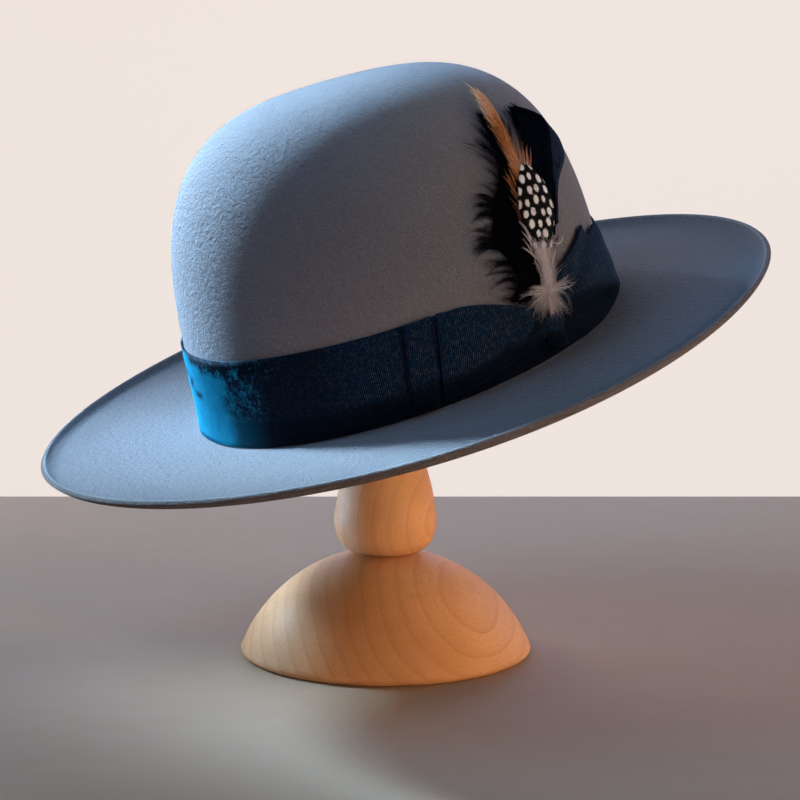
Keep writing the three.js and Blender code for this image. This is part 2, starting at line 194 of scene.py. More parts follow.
def on_stand(points):
    """Points of the hat's frame, in mm, as points of the object's frame, in metres."""
    turned = np.asarray(points, float) @ np.array(hat_matrix).T
    return (turned + np.array(hat_place)) * MM


print("the hat's up:", [round(v, 3) for v in hat_matrix @ Vector((0, 0, 1))])


# %% [markdown]
# A felt crown is one smooth swelling form: an oval wall that rounds over into a dome. A sculptor
# would push and pull it, and a modeller would subdivide a cage. Here a rule gives each point from
# its angle round the head and its height, because every piece of trim can then use the same rule
# to lie exactly on the felt. Angle 0 is the wearer's left, where the bow is, and 90 is the back.

# %% The crown's form
head_length, head_width, crown_height = 206.0, 174.2, 128.3
wall_height, crown_taper = 17.0, 0.04
shoulder_power, softer_left_shoulder = 3.05, 0.24
base_flare, flare_height = 1.1, 9.0
crown_shift, crown_slope = (0.9, 3.4), (0.06, -0.09)


def crown_point(angle, height):
    angle, height = np.broadcast_arrays(np.asarray(angle, float), np.asarray(height, float))
    c, s = np.cos(np.radians(angle)), np.sin(np.radians(angle))
    share = height / crown_height
    climb = np.clip((height - wall_height) / (crown_height - wall_height), 0, 1)
    power = shoulder_power - softer_left_shoulder * c
    size = (1 - climb ** power) ** (1 / power) * (1 - crown_taper * share)
    flare = base_flare * np.exp(-height / flare_height)
    x, y = head_width / 2 * size * c, head_length / 2 * size * s
    slope = (crown_slope[0] * x + crown_slope[1] * y) * share ** 3
    shifted = (x + flare * c + crown_shift[0] * share, y + flare * s + crown_shift[1] * share)
    return np.stack([*shifted, height + slope], -1)


def unit(arrows):
    return arrows / np.maximum(np.linalg.norm(arrows, axis=-1, keepdims=True), 1e-12)


def lifted(angle, height, lift):
    """A point that lies this far outside the crown."""
    step = 0.05
    here = crown_point(angle, height)
    along = crown_point(np.asarray(angle) + step, height) - here
    up = crown_point(angle, np.asarray(height) + step) - here
    return here + unit(np.cross(along, up)) * np.asarray(lift)[..., None]


print("crown's left side at half height:", np.round(crown_point(0, crown_height / 2), 1))


# %% [markdown]
# The brim grows out of the crown, waves a little, and ends in a raw edge that curls up. The felt is
# one skin 2.5 mm thick, so its underside is the upper face moved in along its own normal, and the
# two faces meet in a rounded cut edge.

# %% The brim's form
brim_width, felt_thickness = 73.6, 2.5
curl_radius, curl_turn = 8.0, math.radians(55)
curl_start = brim_width - (curl_radius + felt_thickness) * math.sin(curl_turn)
brim_wave = [(0, 0.6, 0), (1, 1.3, -2.3), (2, -1.1, 1.35), (3, 0, 0.6)]


def smooth(value, low, high):
    t = np.clip((value - low) / (high - low), 0, 1)
    return t * t * (3 - 2 * t)


def brim_point(angle, path):
    turn_round = np.radians(angle)
    flat = np.minimum(path, curl_start)
    turn = np.maximum(path - curl_start, 0) / curl_radius
    reach = flat + curl_radius * np.sin(turn)
    wave = sum(c * np.cos(n * turn_round) + s * np.sin(n * turn_round) for n, c, s in brim_wave)
    flare = base_flare * (1 - reach / brim_width)
    return np.stack([
        (head_width / 2 + reach + flare) * np.cos(turn_round),
        (head_length / 2 + reach + flare) * np.sin(turn_round),
        smooth(flat, 0, curl_start) * wave + curl_radius * (1 - np.cos(turn)),
    ], -1)


def felt_point(angle, path):
    """Below 0 the path climbs the crown, above 0 it crosses the brim."""
    angle, path = np.broadcast_arrays(np.asarray(angle, float), np.asarray(path, float))
    climb = np.sin(np.radians(np.clip(-path, 0, 90))) ** (2 / 3)
    on_crown = crown_point(angle, crown_height * climb)
    return np.where((path > 0)[..., None], brim_point(angle, np.maximum(path, 0)), on_crown)


def felt_face(angle, path, depth):
    """A point this far under the felt's upper face."""
    along = felt_point(angle + 0.4, path) - felt_point(angle - 0.4, path)
    out = felt_point(angle, path + 0.4) - felt_point(angle, path - 0.4)
    return felt_point(angle, path) - unit(np.cross(out, along)) * depth


print("curl starts at, mm:", round(curl_start, 1))


# %% [markdown]
# Meshes from rings. Most pieces here are rows of points that are joined into quads. These helpers
# join them, close their ends, check which way the faces point from the enclosed volume, and flip
# them if needed, so that nothing is inside out. A piece can also keep numbers on its points.

# %% Helpers for meshes
def mesh_object(name, points, faces, material):
    mesh = bpy.data.meshes.new(name)
    mesh.from_pydata([tuple(p) for p in points], [], [tuple(f) for f in faces])
    mesh.validate()
    mesh.shade_smooth()
    mesh.materials.append(material)
    return in_scene(name, mesh)


def store(piece, key, values):
    """A number on each point, for a material or for Geometry Nodes."""
    attribute = piece.data.attributes.new(key, "FLOAT", "POINT")
    attribute.data.foreach_set("value", np.asarray(values).astype(np.float32).ravel())


def volume_of(points, faces):
    faces = np.asarray(faces)
    a = points[faces[:, 0]]
    first = np.einsum("ij,ij->i", a, np.cross(points[faces[:, 1]], points[faces[:, 2]])).sum()
    second = np.einsum("ij,ij->i", a, np.cross(points[faces[:, 2]], points[faces[:, 3]])).sum()
    return (first + second) / 6


def ring_faces(rings, sides, closed):
    """Quads between rings of points. If closed, the last ring joins the first."""
    i, j = np.meshgrid(np.arange(rings if closed else rings - 1), np.arange(sides), indexing="ij")
    k, n = (j + 1) % sides, (i + 1) % rings
    return np.stack([i * sides + j, n * sides + j, n * sides + k, i * sides + k], -1).reshape(-1, 4)


def outward(points, faces):
    return faces[:, ::-1] if volume_of(points, faces) < 0 else faces


def shares(count):
    """Even shares from 0 to 1, in a row."""
    return np.linspace(0, 1, count)[None, :]


def both(values):
    """Values of a sheet's outer face, and then the same ones for its inner face."""
    return np.concatenate([values, values[:, ::-1]], 1)


def sheet(outer, inner, closed=False):
    """The points and faces of a thin sheet between two grids of points, with its rim."""
    section = np.concatenate([outer, inner[:, ::-1]], 1)
    rows, sides = section.shape[:2]
    points, faces = section.reshape(-1, 3), ring_faces(rows, sides, closed)
    if not closed:
        r = np.arange(sides // 2 - 1)
        cap = np.stack([r, r + 1, sides - 2 - r, sides - 1 - r], -1)
        faces = np.concatenate([faces, cap, (cap + (rows - 1) * sides)[:, ::-1]])
    return points, outward(points, faces)


def capped(rings, first_pole, last_pole):
    """The points and faces of a skin of rings that closes in a pole at each end."""
    count, sides = rings.shape[:2]
    points = np.concatenate([rings.reshape(-1, 3), [first_pole, last_pole]])
    grid = ring_faces(count, sides, False)
    j = np.arange(sides)
    k, pole, last = (j + 1) % sides, np.full_like(j, count * sides), (count - 1) * sides
    caps = np.concatenate([np.stack([pole, j, k], -1),
                           np.stack([pole + 1, last + k, last + j], -1)])
    if volume_of(points, grid) < 0:
        grid, caps = grid[:, ::-1], caps[:, ::-1]
    return points, [*grid, *caps]


def triangles_in(piece):
    return sum(len(p.vertices) - 2 for p in piece.data.polygons)


def seat(piece, *nodes, slot):
    """The last step for each piece: it rides on the body and stands for its node. Slot is not used.
    """
    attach(piece, "root")
    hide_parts(*nodes)
    print(piece.name, "triangles:", triangles_in(piece))


# %% [markdown]
# Wool felt has no weave. It is matted fibre with a short nap that is brushed and singed, so close
# up it is a grey mix of darker and lighter fibres. Its finish is four layers of noise: single
# fibres, small clumps, the strokes of the brush, and broad soft clouds where hands and steam have
# moved the nap. Sheen on the shader gives the pale rim that short fibres catch at a grazing angle.

# %% Felt
felt, tree = new_material("felt")
at = place_of(tree)
fibres = noise(tree, at, 1500, 2, 0.7)
clumps = noise(tree, at, 420, 3, 0.6)
brushed = noise(tree, place_of(tree, scale=(1, 1, 1.8)), 150, 4, 0.6, 0.8)
clouds = noise(tree, at, 26, 4, 0.55, 0.4)
grey = layered(
    tree, (0.150, 0.140, 0.145),
    (span(tree, fibres, 0.35, 0.65), (0.238, 0.227, 0.236)),
    (span(tree, clumps, 0.35, 0.65, 0.0, 0.35), (0.155, 0.148, 0.154)),
    (span(tree, clouds, 0.35, 0.65, 0.0, 0.30), (0.215, 0.208, 0.220)),
    # A painted highlight: a pale line along the top of the brim's curl.
    (times(tree, stored(tree, "crest_highlight"), 0.7), (0.46, 0.46, 0.48)),
    # Painted shade: the curl's underside and its cut edge are darker and browner.
    (times(tree, stored(tree, "rim"), 0.6), (0.135, 0.100, 0.082)),
)
nap = bump(tree, fibres, 0.0006, 0.85)
nap = bump(tree, clumps, 0.0014, 0.8, nap)
nap = bump(tree, brushed, 0.0016, 0.5, nap)
finish_material(tree, Base_Color=grey, Roughness=0.95, Normal=nap, Specular_IOR_Level=0.1,
                Sheen_Weight=0.12, Sheen_Roughness=0.4, Sheen_Tint=(0.78, 0.86, 1.0))

# %% Felt body: crown and brim in one skin
felt_sides, edge_round, edge_trim = 256, 0.7, 0.25
crown_rows = np.concatenate([[-89.2, -87], np.linspace(-84, -3, 58), [-1.5, -0.5]])
brim_rows = np.concatenate([[0.3, 1.2, 3], np.linspace(6, curl_start, 26)])
curl_rows = curl_start + np.linspace(0, 1, 11)[1:] * curl_radius * curl_turn
paths = np.concatenate([crown_rows, brim_rows, curl_rows])
angles = np.arange(felt_sides) * 360 / felt_sides

upper = felt_face(angles[None, :], paths[:, None], 0.0)
lower = felt_face(angles[None, :], paths[:, None], felt_thickness)
edge_out = unit(upper[-1] - upper[-2])
upper[-1] -= edge_out * edge_trim
edge_rows = []
for share in (0.12, 0.3, 0.5, 0.7, 0.88):
    swell = edge_round * math.sqrt(1 - (2 * share - 1) ** 2) - edge_round / 2
    edge_rows.append(upper[-1] * (1 - share) + lower[-1] * share + edge_out * swell)
top = crown_point(0, crown_height)
rings = np.concatenate([upper, np.array(edge_rows), lower[::-1]])
points, faces = capped(rings, top, top - [0, 0, felt_thickness])
felt_piece = mesh_object("felt_skin", on_stand(points), faces, felt)
none = 0 * paths
# Painted highlight along the last rows of the upper face, at the top of the curl.
crest_highlight = [*np.clip((paths - paths[-1] + 1.0) / 0.5, 0, 1), 0.3, 0, 0, 0, 0, *none]
# Painted shade on the cut edge and under the curl.
rim = [*none, 0.2, 0.8, 1, 1, 1, *np.clip((paths - curl_start) / 1.5, 0, 1)[::-1]]
for key, per_ring in (("crest_highlight", crest_highlight), ("rim", rim)):
    store(felt_piece, key, [*np.repeat(per_ring, felt_sides), 0, 0])
seat(felt_piece, "felt_body", slot="felt")


# %% [markdown]
# Grosgrain is a ribbon with a fine silk warp over thick cotton cords, so ribs run straight across
# it, a little under a millimetre apart. A bump map could draw them, but they also nick the
# ribbon's edge, so they are real here. One Geometry Nodes tree ribs every ribbon: it reads how far
# along the ribbon each point lies and lifts the point where a cord passes under it.

# %% Geometry Nodes that rib a ribbon
rib_pitch, rib_depth, silk_pitch = 0.86, 0.16, 0.35


def node_tree(name, *sockets):
    """A Geometry Nodes tree with named inputs. Returns the tree, its input and its output."""
    tree = bpy.data.node_groups.new(name, "GeometryNodeTree")
    inputs = [("Geometry", "Geometry", None), *sockets, ("Material", "Material", None)]
    for label, kind, value in inputs:
        socket = tree.interface.new_socket(label, in_out="INPUT", socket_type="NodeSocket" + kind)
        if value is not None:
            socket.default_value = value
    tree.interface.new_socket("Geometry", in_out="OUTPUT", socket_type="NodeSocketGeometry")
    return tree, tree.nodes.new("NodeGroupInput"), tree.nodes.new("NodeGroupOutput")


def dress(tree, start, end, geometry):
    """The tree's last node gives the geometry its material."""
    dressed = add(tree, "GeometryNodeSetMaterial", Geometry=geometry,
                  Material=start.outputs["Material"])
    tree.links.new(dressed.outputs[0], end.inputs[0])


def run_tree(piece, tree, **values):
    """The piece's mesh after the tree. Inputs are set by identifier, then the modifier goes."""
    modifier = piece.modifiers.new(tree.name, "NODES")
    modifier.node_group = tree
    identifiers = {s.name: s.identifier for s in tree.interface.items_tree if s.in_out == "INPUT"}
    for label, value in values.items():
        modifier[identifiers[label.replace("_", " ")]] = value
    bpy.context.view_layer.update()
    evaluated = piece.evaluated_get(bpy.context.evaluated_depsgraph_get())
    finished = bpy.data.meshes.new_from_object(evaluated)
    piece.modifiers.clear()
    old = piece.data
    piece.data = finished
    bpy.data.meshes.remove(old)
    return piece


def named(tree, name):
    node = add(tree, "GeometryNodeInputNamedAttribute", {"data_type": "FLOAT"}, Name=name)
    return node.outputs["Attribute"]


ribs, start, end = node_tree(
    "grosgrain ribs", ("Rib Pitch", "Float", rib_pitch * MM),
    ("Rib Depth", "Float", rib_depth * MM))
phase = maths(ribs, "DIVIDE", named(ribs, "along"), start.outputs["Rib Pitch"])
swing = maths(ribs, "SINE", times(ribs, phase, 2 * math.pi))
depth = times(ribs, times(ribs, swing, start.outputs["Rib Depth"]), named(ribs, "face"))
normal = add(ribs, "GeometryNodeInputNormal").outputs[0]
offset = vectors(ribs, "SCALE", normal, Scale=times(ribs, depth, 0.5))
moved = add(ribs, "GeometryNodeSetPosition", Geometry=start.outputs["Geometry"], Offset=offset)
dress(ribs, start, end, moved.outputs[0])
print("rib tree nodes:", len(ribs.nodes))


# %% [markdown]
# The ribbon is a dark navy grosgrain. On one side a painted sheen of light teal-blue stands in for
# the light that the silk catches there. Three point attributes say how much of that painted sheen it
# carries, how much noise speckles the sheen's edge, and how much painted shade it carries. The dark
# cotton shows between the ribs. Along its upper edge and at two small nicks the painted sheen stops
# and the ribbon is darker.

# %% Ribbon
ribbon, tree = new_material("ribbon")
at = place_of(tree)
rib_wave, weave_wave = (
    maths(tree, "SINE", times(tree, stored(tree, key), 2 * math.pi / (pitch * MM)))
    for key, pitch in (("along", rib_pitch), ("across", silk_pitch)))
flecks = noise(tree, at, 1100, 2, 0.7)
dust_and_sheen_noise = noise(tree, at, 620, 3, 0.7)
patches = noise(tree, at, 150, 3, 0.6)
rib_top = span(tree, rib_wave, -1, 0.6)
dust = times(tree, span(tree, dust_and_sheen_noise, 0.50, 0.64), span(tree, rib_wave, 0.0, 0.9))
navy = layered(
    tree, (0.0006, 0.0050, 0.0130),
    (rib_top, (0.006, 0.034, 0.080)),
    (span(tree, flecks, 0.35, 0.65, 0.0, 0.8), (0.0012, 0.004, 0.010)),
    (times(tree, dust, 0.65), (0.112, 0.094, 0.098)),
    # Painted shade: nearly black below the shade line and at the other darkened places.
    (times(tree, stored(tree, "painted_shade"), 0.8), (0.0006, 0.0024, 0.0060)),
)
# The painted sheen: a light teal-blue that stands in for the silk's shine where the light falls.
petrol_sheen = layered(
    tree, (0.001, 0.14, 0.24),
    (rib_top, (0.004, 0.25, 0.39)),
    (span(tree, patches, 0.4, 0.65, 0.0, 0.5), (0.008, 0.30, 0.45)),
)
# Noise speckles the edge of the painted sheen.
speckle = plus(tree, plus(tree, dust_and_sheen_noise, -0.5), times(tree, plus(tree, patches, -0.52), 0.8))
sheen_breakup = times(tree, times(tree, speckle, 7.0), stored(tree, "sheen_speckle"))
painted_sheen = span(tree, plus(tree, stored(tree, "painted_sheen_share"), sheen_breakup), 0.0, 1.0)
silk = bump(tree, weave_wave, 0.00004, 0.5)
silk = bump(tree, flecks, 0.00012, 0.5, silk)
finish_material(tree, Base_Color=blend(tree, painted_sheen, navy, petrol_sheen), Roughness=0.7, Normal=silk,
                Specular_IOR_Level=0.04, Sheen_Weight=0.05, Sheen_Roughness=0.4,
                Sheen_Tint=(0.10, 0.5, 1.0))


# %% [markdown]
# Every length of ribbon is a sheet that runs round the head. A short table gives its cuts: the
# angle, how far it stands off the crown, its low and high edge, and how far it slants. Between the
# cuts a smooth curve fills in, because ribbon bends but never kinks. Each point remembers how far
# along and across the ribbon it lies, for the ribs and the silk.

# %% Ribbon sheets
ribbon_width, ribbon_thickness, clearance, pleat_slant = 37.0, 0.8, 0.3, 0.092
on_band = 2 * clearance + ribbon_thickness
row_gap, ribbon_samples, feather_samples = rib_pitch / 4, 1200, 400


def cuts(keys, *rows, **same):
    """A table of cuts: each row's values under these keys, and the values that all rows share."""
    return [{**dict(zip(keys.split(), row)), **same} for row in rows]


def filled_in(values, steps):
    """A smooth curve through values that are one step apart, as a cardinal spline."""
    v = np.asarray(values, float)
    t = np.linspace(0, len(v) - 1, steps)
    i = np.clip(t.astype(int), 0, len(v) - 2)
    f = t - i
    padded = np.concatenate([[2 * v[0] - v[1]], v, [2 * v[-1] - v[-2]]])
    a, b, c, d = padded[i], padded[i + 1], padded[i + 2], padded[i + 3]
    slack = 0.42
    m0, m1 = slack * (c - a), slack * (d - b)
    return ((2 * f ** 3 - 3 * f ** 2 + 1) * b + (f ** 3 - 2 * f ** 2 + f) * m0
            + (-2 * f ** 3 + 3 * f ** 2) * c + (f ** 3 - f ** 2) * m1)


def table_columns(rows, steps, keys):
    return {key: filled_in([row.get(key, 0.0) for row in rows], steps) for key in keys}


def even_rows(rows):
    """The table's columns at even steps of length along the ribbon, in mm."""
    table = table_columns(rows, ribbon_samples, ("angle", "lift", "low", "high", "slant"))
    middle = lifted(table["angle"], (table["low"] + table["high"]) / 2, table["lift"])
    run = np.concatenate([[0], np.cumsum(np.linalg.norm(np.diff(middle, axis=0), axis=1))])
    even = np.linspace(0, run[-1], max(int(run[-1] / row_gap), 8))
    return {key: np.interp(even, run, column) for key, column in table.items()}, even


def signed(angle):
    """An angle round the head, from -180 to 180 degrees."""
    return (angle + 180) % 360 - 180


def between(value, rise, fall):
    """1 inside and 0 outside, with a soft rise and a soft fall."""
    return smooth(value, *rise) * (1 - smooth(value, *fall))


def hump(distance, width, power=2):
    return np.exp(-(distance / width) ** power)


def ribbon_light_marks(angle, height):
    """How much painted sheen a ribbon carries (1 full, 0 navy), how speckled it is, and how darkened.
    """
    turn = signed(angle)
    # Where the painted sheen lies: one side of the band, fading out before the bow.
    strip = smooth(turn, -162, -132) * (1 - 0.75 * smooth(turn, -98, -91))
    painted_sheen = strip * (1 - smooth(turn, -91, -79))
    edge = np.interp(turn, (-126, -114, -106, -80), (37.7, 36.0, 33.0, 32.4))
    top = smooth(height, edge - 0.8, edge + 0.8) * between(turn, (-134, -126), (-82, -70))
    fringe = hump(height - edge, 1.8) * between(turn, (-112, -104), (-82, -72))
    middle = hump(height - 24, 9, 4) * between(turn, (-101, -96), (-85, -78))
    upper_nick = hump(height - 28.5 + 0.56 * (turn + 121), 1.2, 4)
    lower_nick = hump(height - 22.6 + 0.2 * (turn + 119), 1.3, 4)
    nick = np.maximum(upper_nick * between(turn, (-124, -121), (-115, -113)),
                      lower_nick * between(turn, (-121, -118), (-111, -107)))
    far = between(turn, (-170, -152), (-140, -132))
    sheen_speckle = 0.2 * top + 0.5 * fringe + 0.38 * middle + 0.25 * nick + 0.4 * far
    # Painted shade on the band in front of the bow.
    beside_shade = 0.7 * between(turn, (-86, -76), (-66, -48))
    # Painted shade in the fold along the pleat's front.
    crease_shade = hump(turn + 40.6 - pleat_slant * (height - 19.8), 0.7)
    edges = 0.9 * np.maximum(top * smooth(turn, -136, -124), nick) * (turn < 0)
    dark = np.maximum(beside_shade, np.maximum(edges, crease_shade))
    return painted_sheen * (1 - 0.97 * top) * (1 - 0.95 * nick), np.clip(sheen_speckle, 0, 0.9) * (turn < 0), dark


def ribbon_sheet(name, rows, thickness, across, shape=None, closed=False, shade_line=11.5):
    """A sheet of ribbon with real ribs. Shape may change the angles, heights and lifts. Below the
    shade line, a height or a table of angle and height, painted shade darkens the ribbon."""
    if closed:
        count = int(rows["length"] / row_gap)
        turn = np.arange(count) / count
        table = {key: np.full(count, float(rows[key])) for key in ("lift", "low", "high")}
        table.update(angle=360 * turn, slant=0 * turn)
        even = turn * rows["length"]
    else:
        table, even = even_rows(rows)
    table = {key: column[:, None] for key, column in table.items()}
    v = shares(across + 1)
    height = table["low"] * (1 - v) + table["high"] * v
    angle = table["angle"] + table["slant"] * (height - ribbon_width / 2)
    lift = np.repeat(table["lift"], across + 1, 1)
    if shape is not None:
        angle, height, lift = shape(angle, height, lift, v)
    middle = lifted(angle, height, lift)
    if closed:
        along = np.roll(middle, -1, 0) - np.roll(middle, 1, 0)
    else:
        along = np.gradient(middle, axis=0)
    half = unit(np.cross(along, np.gradient(middle, axis=1))) * thickness / 2
    points, faces = sheet(middle + half, middle - half, closed)
    piece = mesh_object(name, on_stand(points), faces, ribbon)
    painted_sheen, sheen_speckle, dark = ribbon_light_marks(angle, height)
    line = np.interp(angle, *zip(*shade_line)) if isinstance(shade_line, list) else shade_line
    # Painted shade below the shade line, and the darkened places from above.
    painted_shade = np.maximum(1 - smooth(height - line, -1.6, 1.6), dark)
    none = 0 * height
    store(piece, "along", both(even[:, None] + none) * MM)
    store(piece, "across", both(v + none) * ribbon_width * MM)
    store(piece, "face", np.concatenate([none + 1, none + 0.4], 1))
    for key, values in (("painted_sheen_share", painted_sheen), ("sheen_speckle", sheen_speckle), ("painted_shade", painted_shade)):
        store(piece, key, both(values))
    return run_tree(piece, ribs, Material=ribbon, Rib_Pitch=rib_pitch * MM,
                    Rib_Depth=rib_depth * MM)


# %% Band round the foot of the crown
band_bottom, band_height = 0.4, 38.1
under_bow = [
    (-33, 0), (-30, 0.4), (-27, 2.0), (-24, 3.8), (-18, 6.8), (-12, 10.4), (-7, 14.5), (-2, 17),
    (3, 15), (9, 8), (15, 5.4), (21, 4.6), (27, 4.6), (36, 5.4), (45, 5.8), (58, 5.4), (75, 3.6),
    (95, 1.2), (115, 0),
]


def settled(angle, height, lift, share):
    """The band lies close, but its top edge breathes a little, and the bow draws it down."""
    height = height - np.interp(signed(angle), *zip(*under_bow)) * share ** 1.5
    breath = 0.10 * np.sin(np.radians(angle * 7)) + 0.08 * np.sin(np.radians(angle * 11 + 40))
    wave = 0.18 * np.sin(np.radians(angle * 5 + 30)) * share ** 2
    return angle, height + wave, lift + (0.10 + breath) * share ** 3


ring = lifted(np.linspace(0, 360, 721), 20, 0.7)
round_head = np.linalg.norm(np.diff(ring, axis=0), axis=1).sum()
round_head = round(round_head / rib_pitch) * rib_pitch
band_rows = {"length": round_head, "lift": clearance + ribbon_thickness / 2,
             "low": band_bottom, "high": band_bottom + band_height}
# Below 11.5 mm the band carries painted shade; so do the pleat and the knot.
band = ribbon_sheet("grosgrain_band", band_rows, ribbon_thickness, 15, settled, closed=True)
seat(band, "ribbon_band", slot="ribbon")
print("ribbon round the head, mm:", round(round_head, 1))


# %% [markdown]
# In front of the bow the maker has pinched the band into a narrow pleat. It stands a little proud
# and painted shade darkens the fold line along its front.

# %% Keeper pleat
keeper_rows = cuts(
    "angle lift", (-39.8, on_band + 0.45), (-39.2, on_band + 1.15), (-37.6, on_band + 1.45),
    (-35.4, on_band + 1.45), (-34.0, on_band + 1.15), (-33.4, on_band + 0.45),
    low=0.8, high=38.8, slant=pleat_slant)
keeper = ribbon_sheet("pleat_keeper", keeper_rows, 0.8, 8)
seat(keeper, "bow_keeper", slot="ribbon")


# %% [markdown]
# The bow's loop is one turn of ribbon. It leaves the knot narrow and gathered, swells as it goes
# forward, folds back on itself beside the pleat and returns underneath. The gathers are shallow
# waves that start at the knot and fade out along the loop.

# %% Loop of the bow
loop_wall = 0.7
loop_back = on_band + loop_wall / 2
loop_front = cuts(
    "angle lift low high slant", (-3.1, 3.6, 10.5, 22.5, 0), (-7, 4.7, 9.5, 26.5, 0),
    (-12, 5.1, 7.6, 31, 0.02), (-18, 5.1, 5.6, 34.9, 0.04), (-24, 4.8, 4, 37.4, 0.065),
    (-28.6, 4.1, 3.2, 38, 0.085))
loop_fold = cuts("angle lift", (-31, 3.5), (-31.8, 2.8), (-31, 2.1),
                 low=2.8, high=38.6, slant=pleat_slant)
loop_rows = [*loop_front, *loop_fold, *({**row, "lift": loop_back} for row in loop_front[::-1])]


def gathered(angle, height, lift, share):
    """Gathers run out from the knot on the outer layer, and the lower edge rolls in."""
    front = smooth(lift, 2.6, 4.4)
    near = 1 - smooth(-angle, 3, 20)
    wave = 0.55 * near * np.sin(2 * math.pi * (3.2 * share + 0.15))
    roll = -2.2 * (1 - smooth(share, 0.1, 0.42)) * smooth(-angle, 3, 12)
    belly = 0.35 * np.sin(math.pi * share)
    return angle, height, lift + front * (wave + roll + belly)


# Below this line the loop carries painted shade, and near the knot the whole loop does.
loop_shade = [(-34, 11.6), (-26.5, 11.5), (-19, 12.8), (-14.8, 15.3), (-10, 15.2), (-6.6, 17),
              (-4.4, 27), (-1, 27)]
loop = ribbon_sheet("bow_loop_ribbon", loop_rows, loop_wall, 18, gathered, shade_line=loop_shade)
seat(loop, "bow_loop", slot="ribbon")


# %% Knot of the bow
knot_rows = cuts("angle lift low high", (-2.6, 2.6, 7, 22.5), (-1.0, 3.9, 3.8, 24.2),
                 (1.5, 4.1, 2.8, 25), (3.4, 2.8, 3, 23.5))


def pinched(angle, height, lift, share):
    folds = 0.45 * np.sin(2 * math.pi * (2.4 * share + 0.12 * angle / 3))
    return angle, height, lift + folds * np.sin(math.pi * share)


knot = ribbon_sheet("bow_knot_ribbon", knot_rows, 2.2, 22, pinched)
seat(knot, "bow_knot", slot="ribbon")


# %% [markdown]
# Behind the knot the ribbon's end fans out and is cut into a swallowtail that stands above the
# band. It is folded lengthwise, so its upper half faces the light; below the fold painted shade
# darkens its lower half.

# %% Tail of the bow
tail_thickness = 2.5
tail_lift = on_band + tail_thickness / 2
# Below this fold line the tail carries painted shade.
tail_fold = [(3, 21), (12, 19.5), (19.2, 18.2), (28.5, 13.2), (38, 8), (48.5, 2.5)]
tail_rows = cuts(
    "angle low high", (3.9, 2, 25.4), (6, 1.4, 30.4), (9.5, 1, 34.0), (15, 0.9, 36.6),
    (20.5, 0.8, 39.2), (26, 0.8, 42.2), (28.8, 0.8, 36.6), (36.4, 0.8, 37.2), (40, 0.8, 29.4),
    (43, 0.8, 22), (47.3, 0.8, 12.6), (50.3, 0.8, 5), lift=tail_lift)


def fanned(angle, height, lift, share):
    """Soft folds fan out from the knot, and one long fold crosses the tail."""
    far = smooth(angle, 4, 18)
    spread = np.arctan2(height - 14, (angle - 2) * 1.6)
    folds = 0.9 * far * np.sin(7.5 * spread + 0.6) + 0.4 * far * np.sin(17 * spread + 2)
    ridge = 1.6 * far * hump(height - np.interp(angle, *zip(*tail_fold)), 4)
    edge = -0.35 * (1 - np.sin(math.pi * share))
    return angle, height, lift + folds + ridge + edge


tail = ribbon_sheet("bow_tail_ribbon", tail_rows, 1.2, 26, fanned, shade_line=tail_fold)
seat(tail, "bow_tail", slot="ribbon")


# %% [markdown]
# A feather is a quill with hundreds of barbs. Each barb here starts as a line of a few points laid
# on the crown, and one Geometry Nodes tree gives all the lines of a feather a body: it frizzes
# them, turns them into curves, thins them towards their tips and sweeps a small triangle along
# them. A triangle is the cheapest closed section, and thousands of barbs have to stay light.

# %% Geometry Nodes that turn lines into barbs
barbs, start, end = node_tree(
    "feather barbs", ("Frizz", "Float", 0.0004), ("Frizz Scale", "Float", 300.0),
    ("Sides", "Int", 3), ("Seed", "Int", 1))
noise_gap = 0.371
lines = add(barbs, "GeometryNodeMeshToCurve", Mesh=start.outputs["Geometry"])
whose = add(barbs, "GeometryNodeCurveOfPoint").outputs["Curve Index"]
place = add(barbs, "GeometryNodeInputPosition").outputs[0]
shake = add(barbs, "ShaderNodeTexNoise", {"noise_dimensions": "4D"}, Vector=place, Detail=1.0,
            W=plus(barbs, times(barbs, whose, noise_gap), start.outputs["Seed"]),
            Scale=start.outputs["Frizz Scale"])
centred = vectors(barbs, "SUBTRACT", shake.outputs["Color"], i1=(0.5, 0.5, 0.5))
progress = add(barbs, "GeometryNodeSplineParameter").outputs["Factor"]
strength = times(barbs, times(barbs, progress, 2.0), start.outputs["Frizz"])
frizzed = add(barbs, "GeometryNodeSetPosition", Geometry=lines.outputs[0],
              Offset=vectors(barbs, "SCALE", centred, Scale=strength))
ring = add(barbs, "GeometryNodeCurvePrimitiveCircle", Resolution=start.outputs["Sides"], Radius=1.0)
swept = add(barbs, "GeometryNodeCurveToMesh", Curve=frizzed.outputs[0],
            Profile_Curve=ring.outputs[0], Scale=named(barbs, "girth"), Fill_Caps=True)
real = add(barbs, "GeometryNodeRealizeInstances", Geometry=swept.outputs[0])
dress(barbs, start, end, real.outputs[0])


def barb_piece(name, group, material, frizz, frizz_scale, seed):
    """Barbs from a group: lines (count, points, 3) in metres, radii in mm, and tints."""
    lines, girth, tint = group
    count, steps = lines.shape[:2]
    mesh = bpy.data.meshes.new(name)
    index = np.arange(count * steps).reshape(count, steps)
    edges = np.stack([index[:, :-1].ravel(), index[:, 1:].ravel()], -1)
    mesh.from_pydata([tuple(p) for p in lines.reshape(-1, 3)], edges.tolist(), [])
    piece = in_scene(name, mesh)
    store(piece, "girth", girth * MM)
    store(piece, "tint", np.broadcast_to(tint, girth.shape))
    run_tree(piece, barbs, Frizz=frizz * MM, Frizz_Scale=frizz_scale, Seed=seed, Material=material)
    piece.data.shade_smooth()
    return piece


def together(*groups):
    """The lines, girths and tints of several groups of barbs, as one group."""
    return [np.concatenate(column) for column in zip(*groups)]


print("barb tree nodes:", len(barbs.nodes))


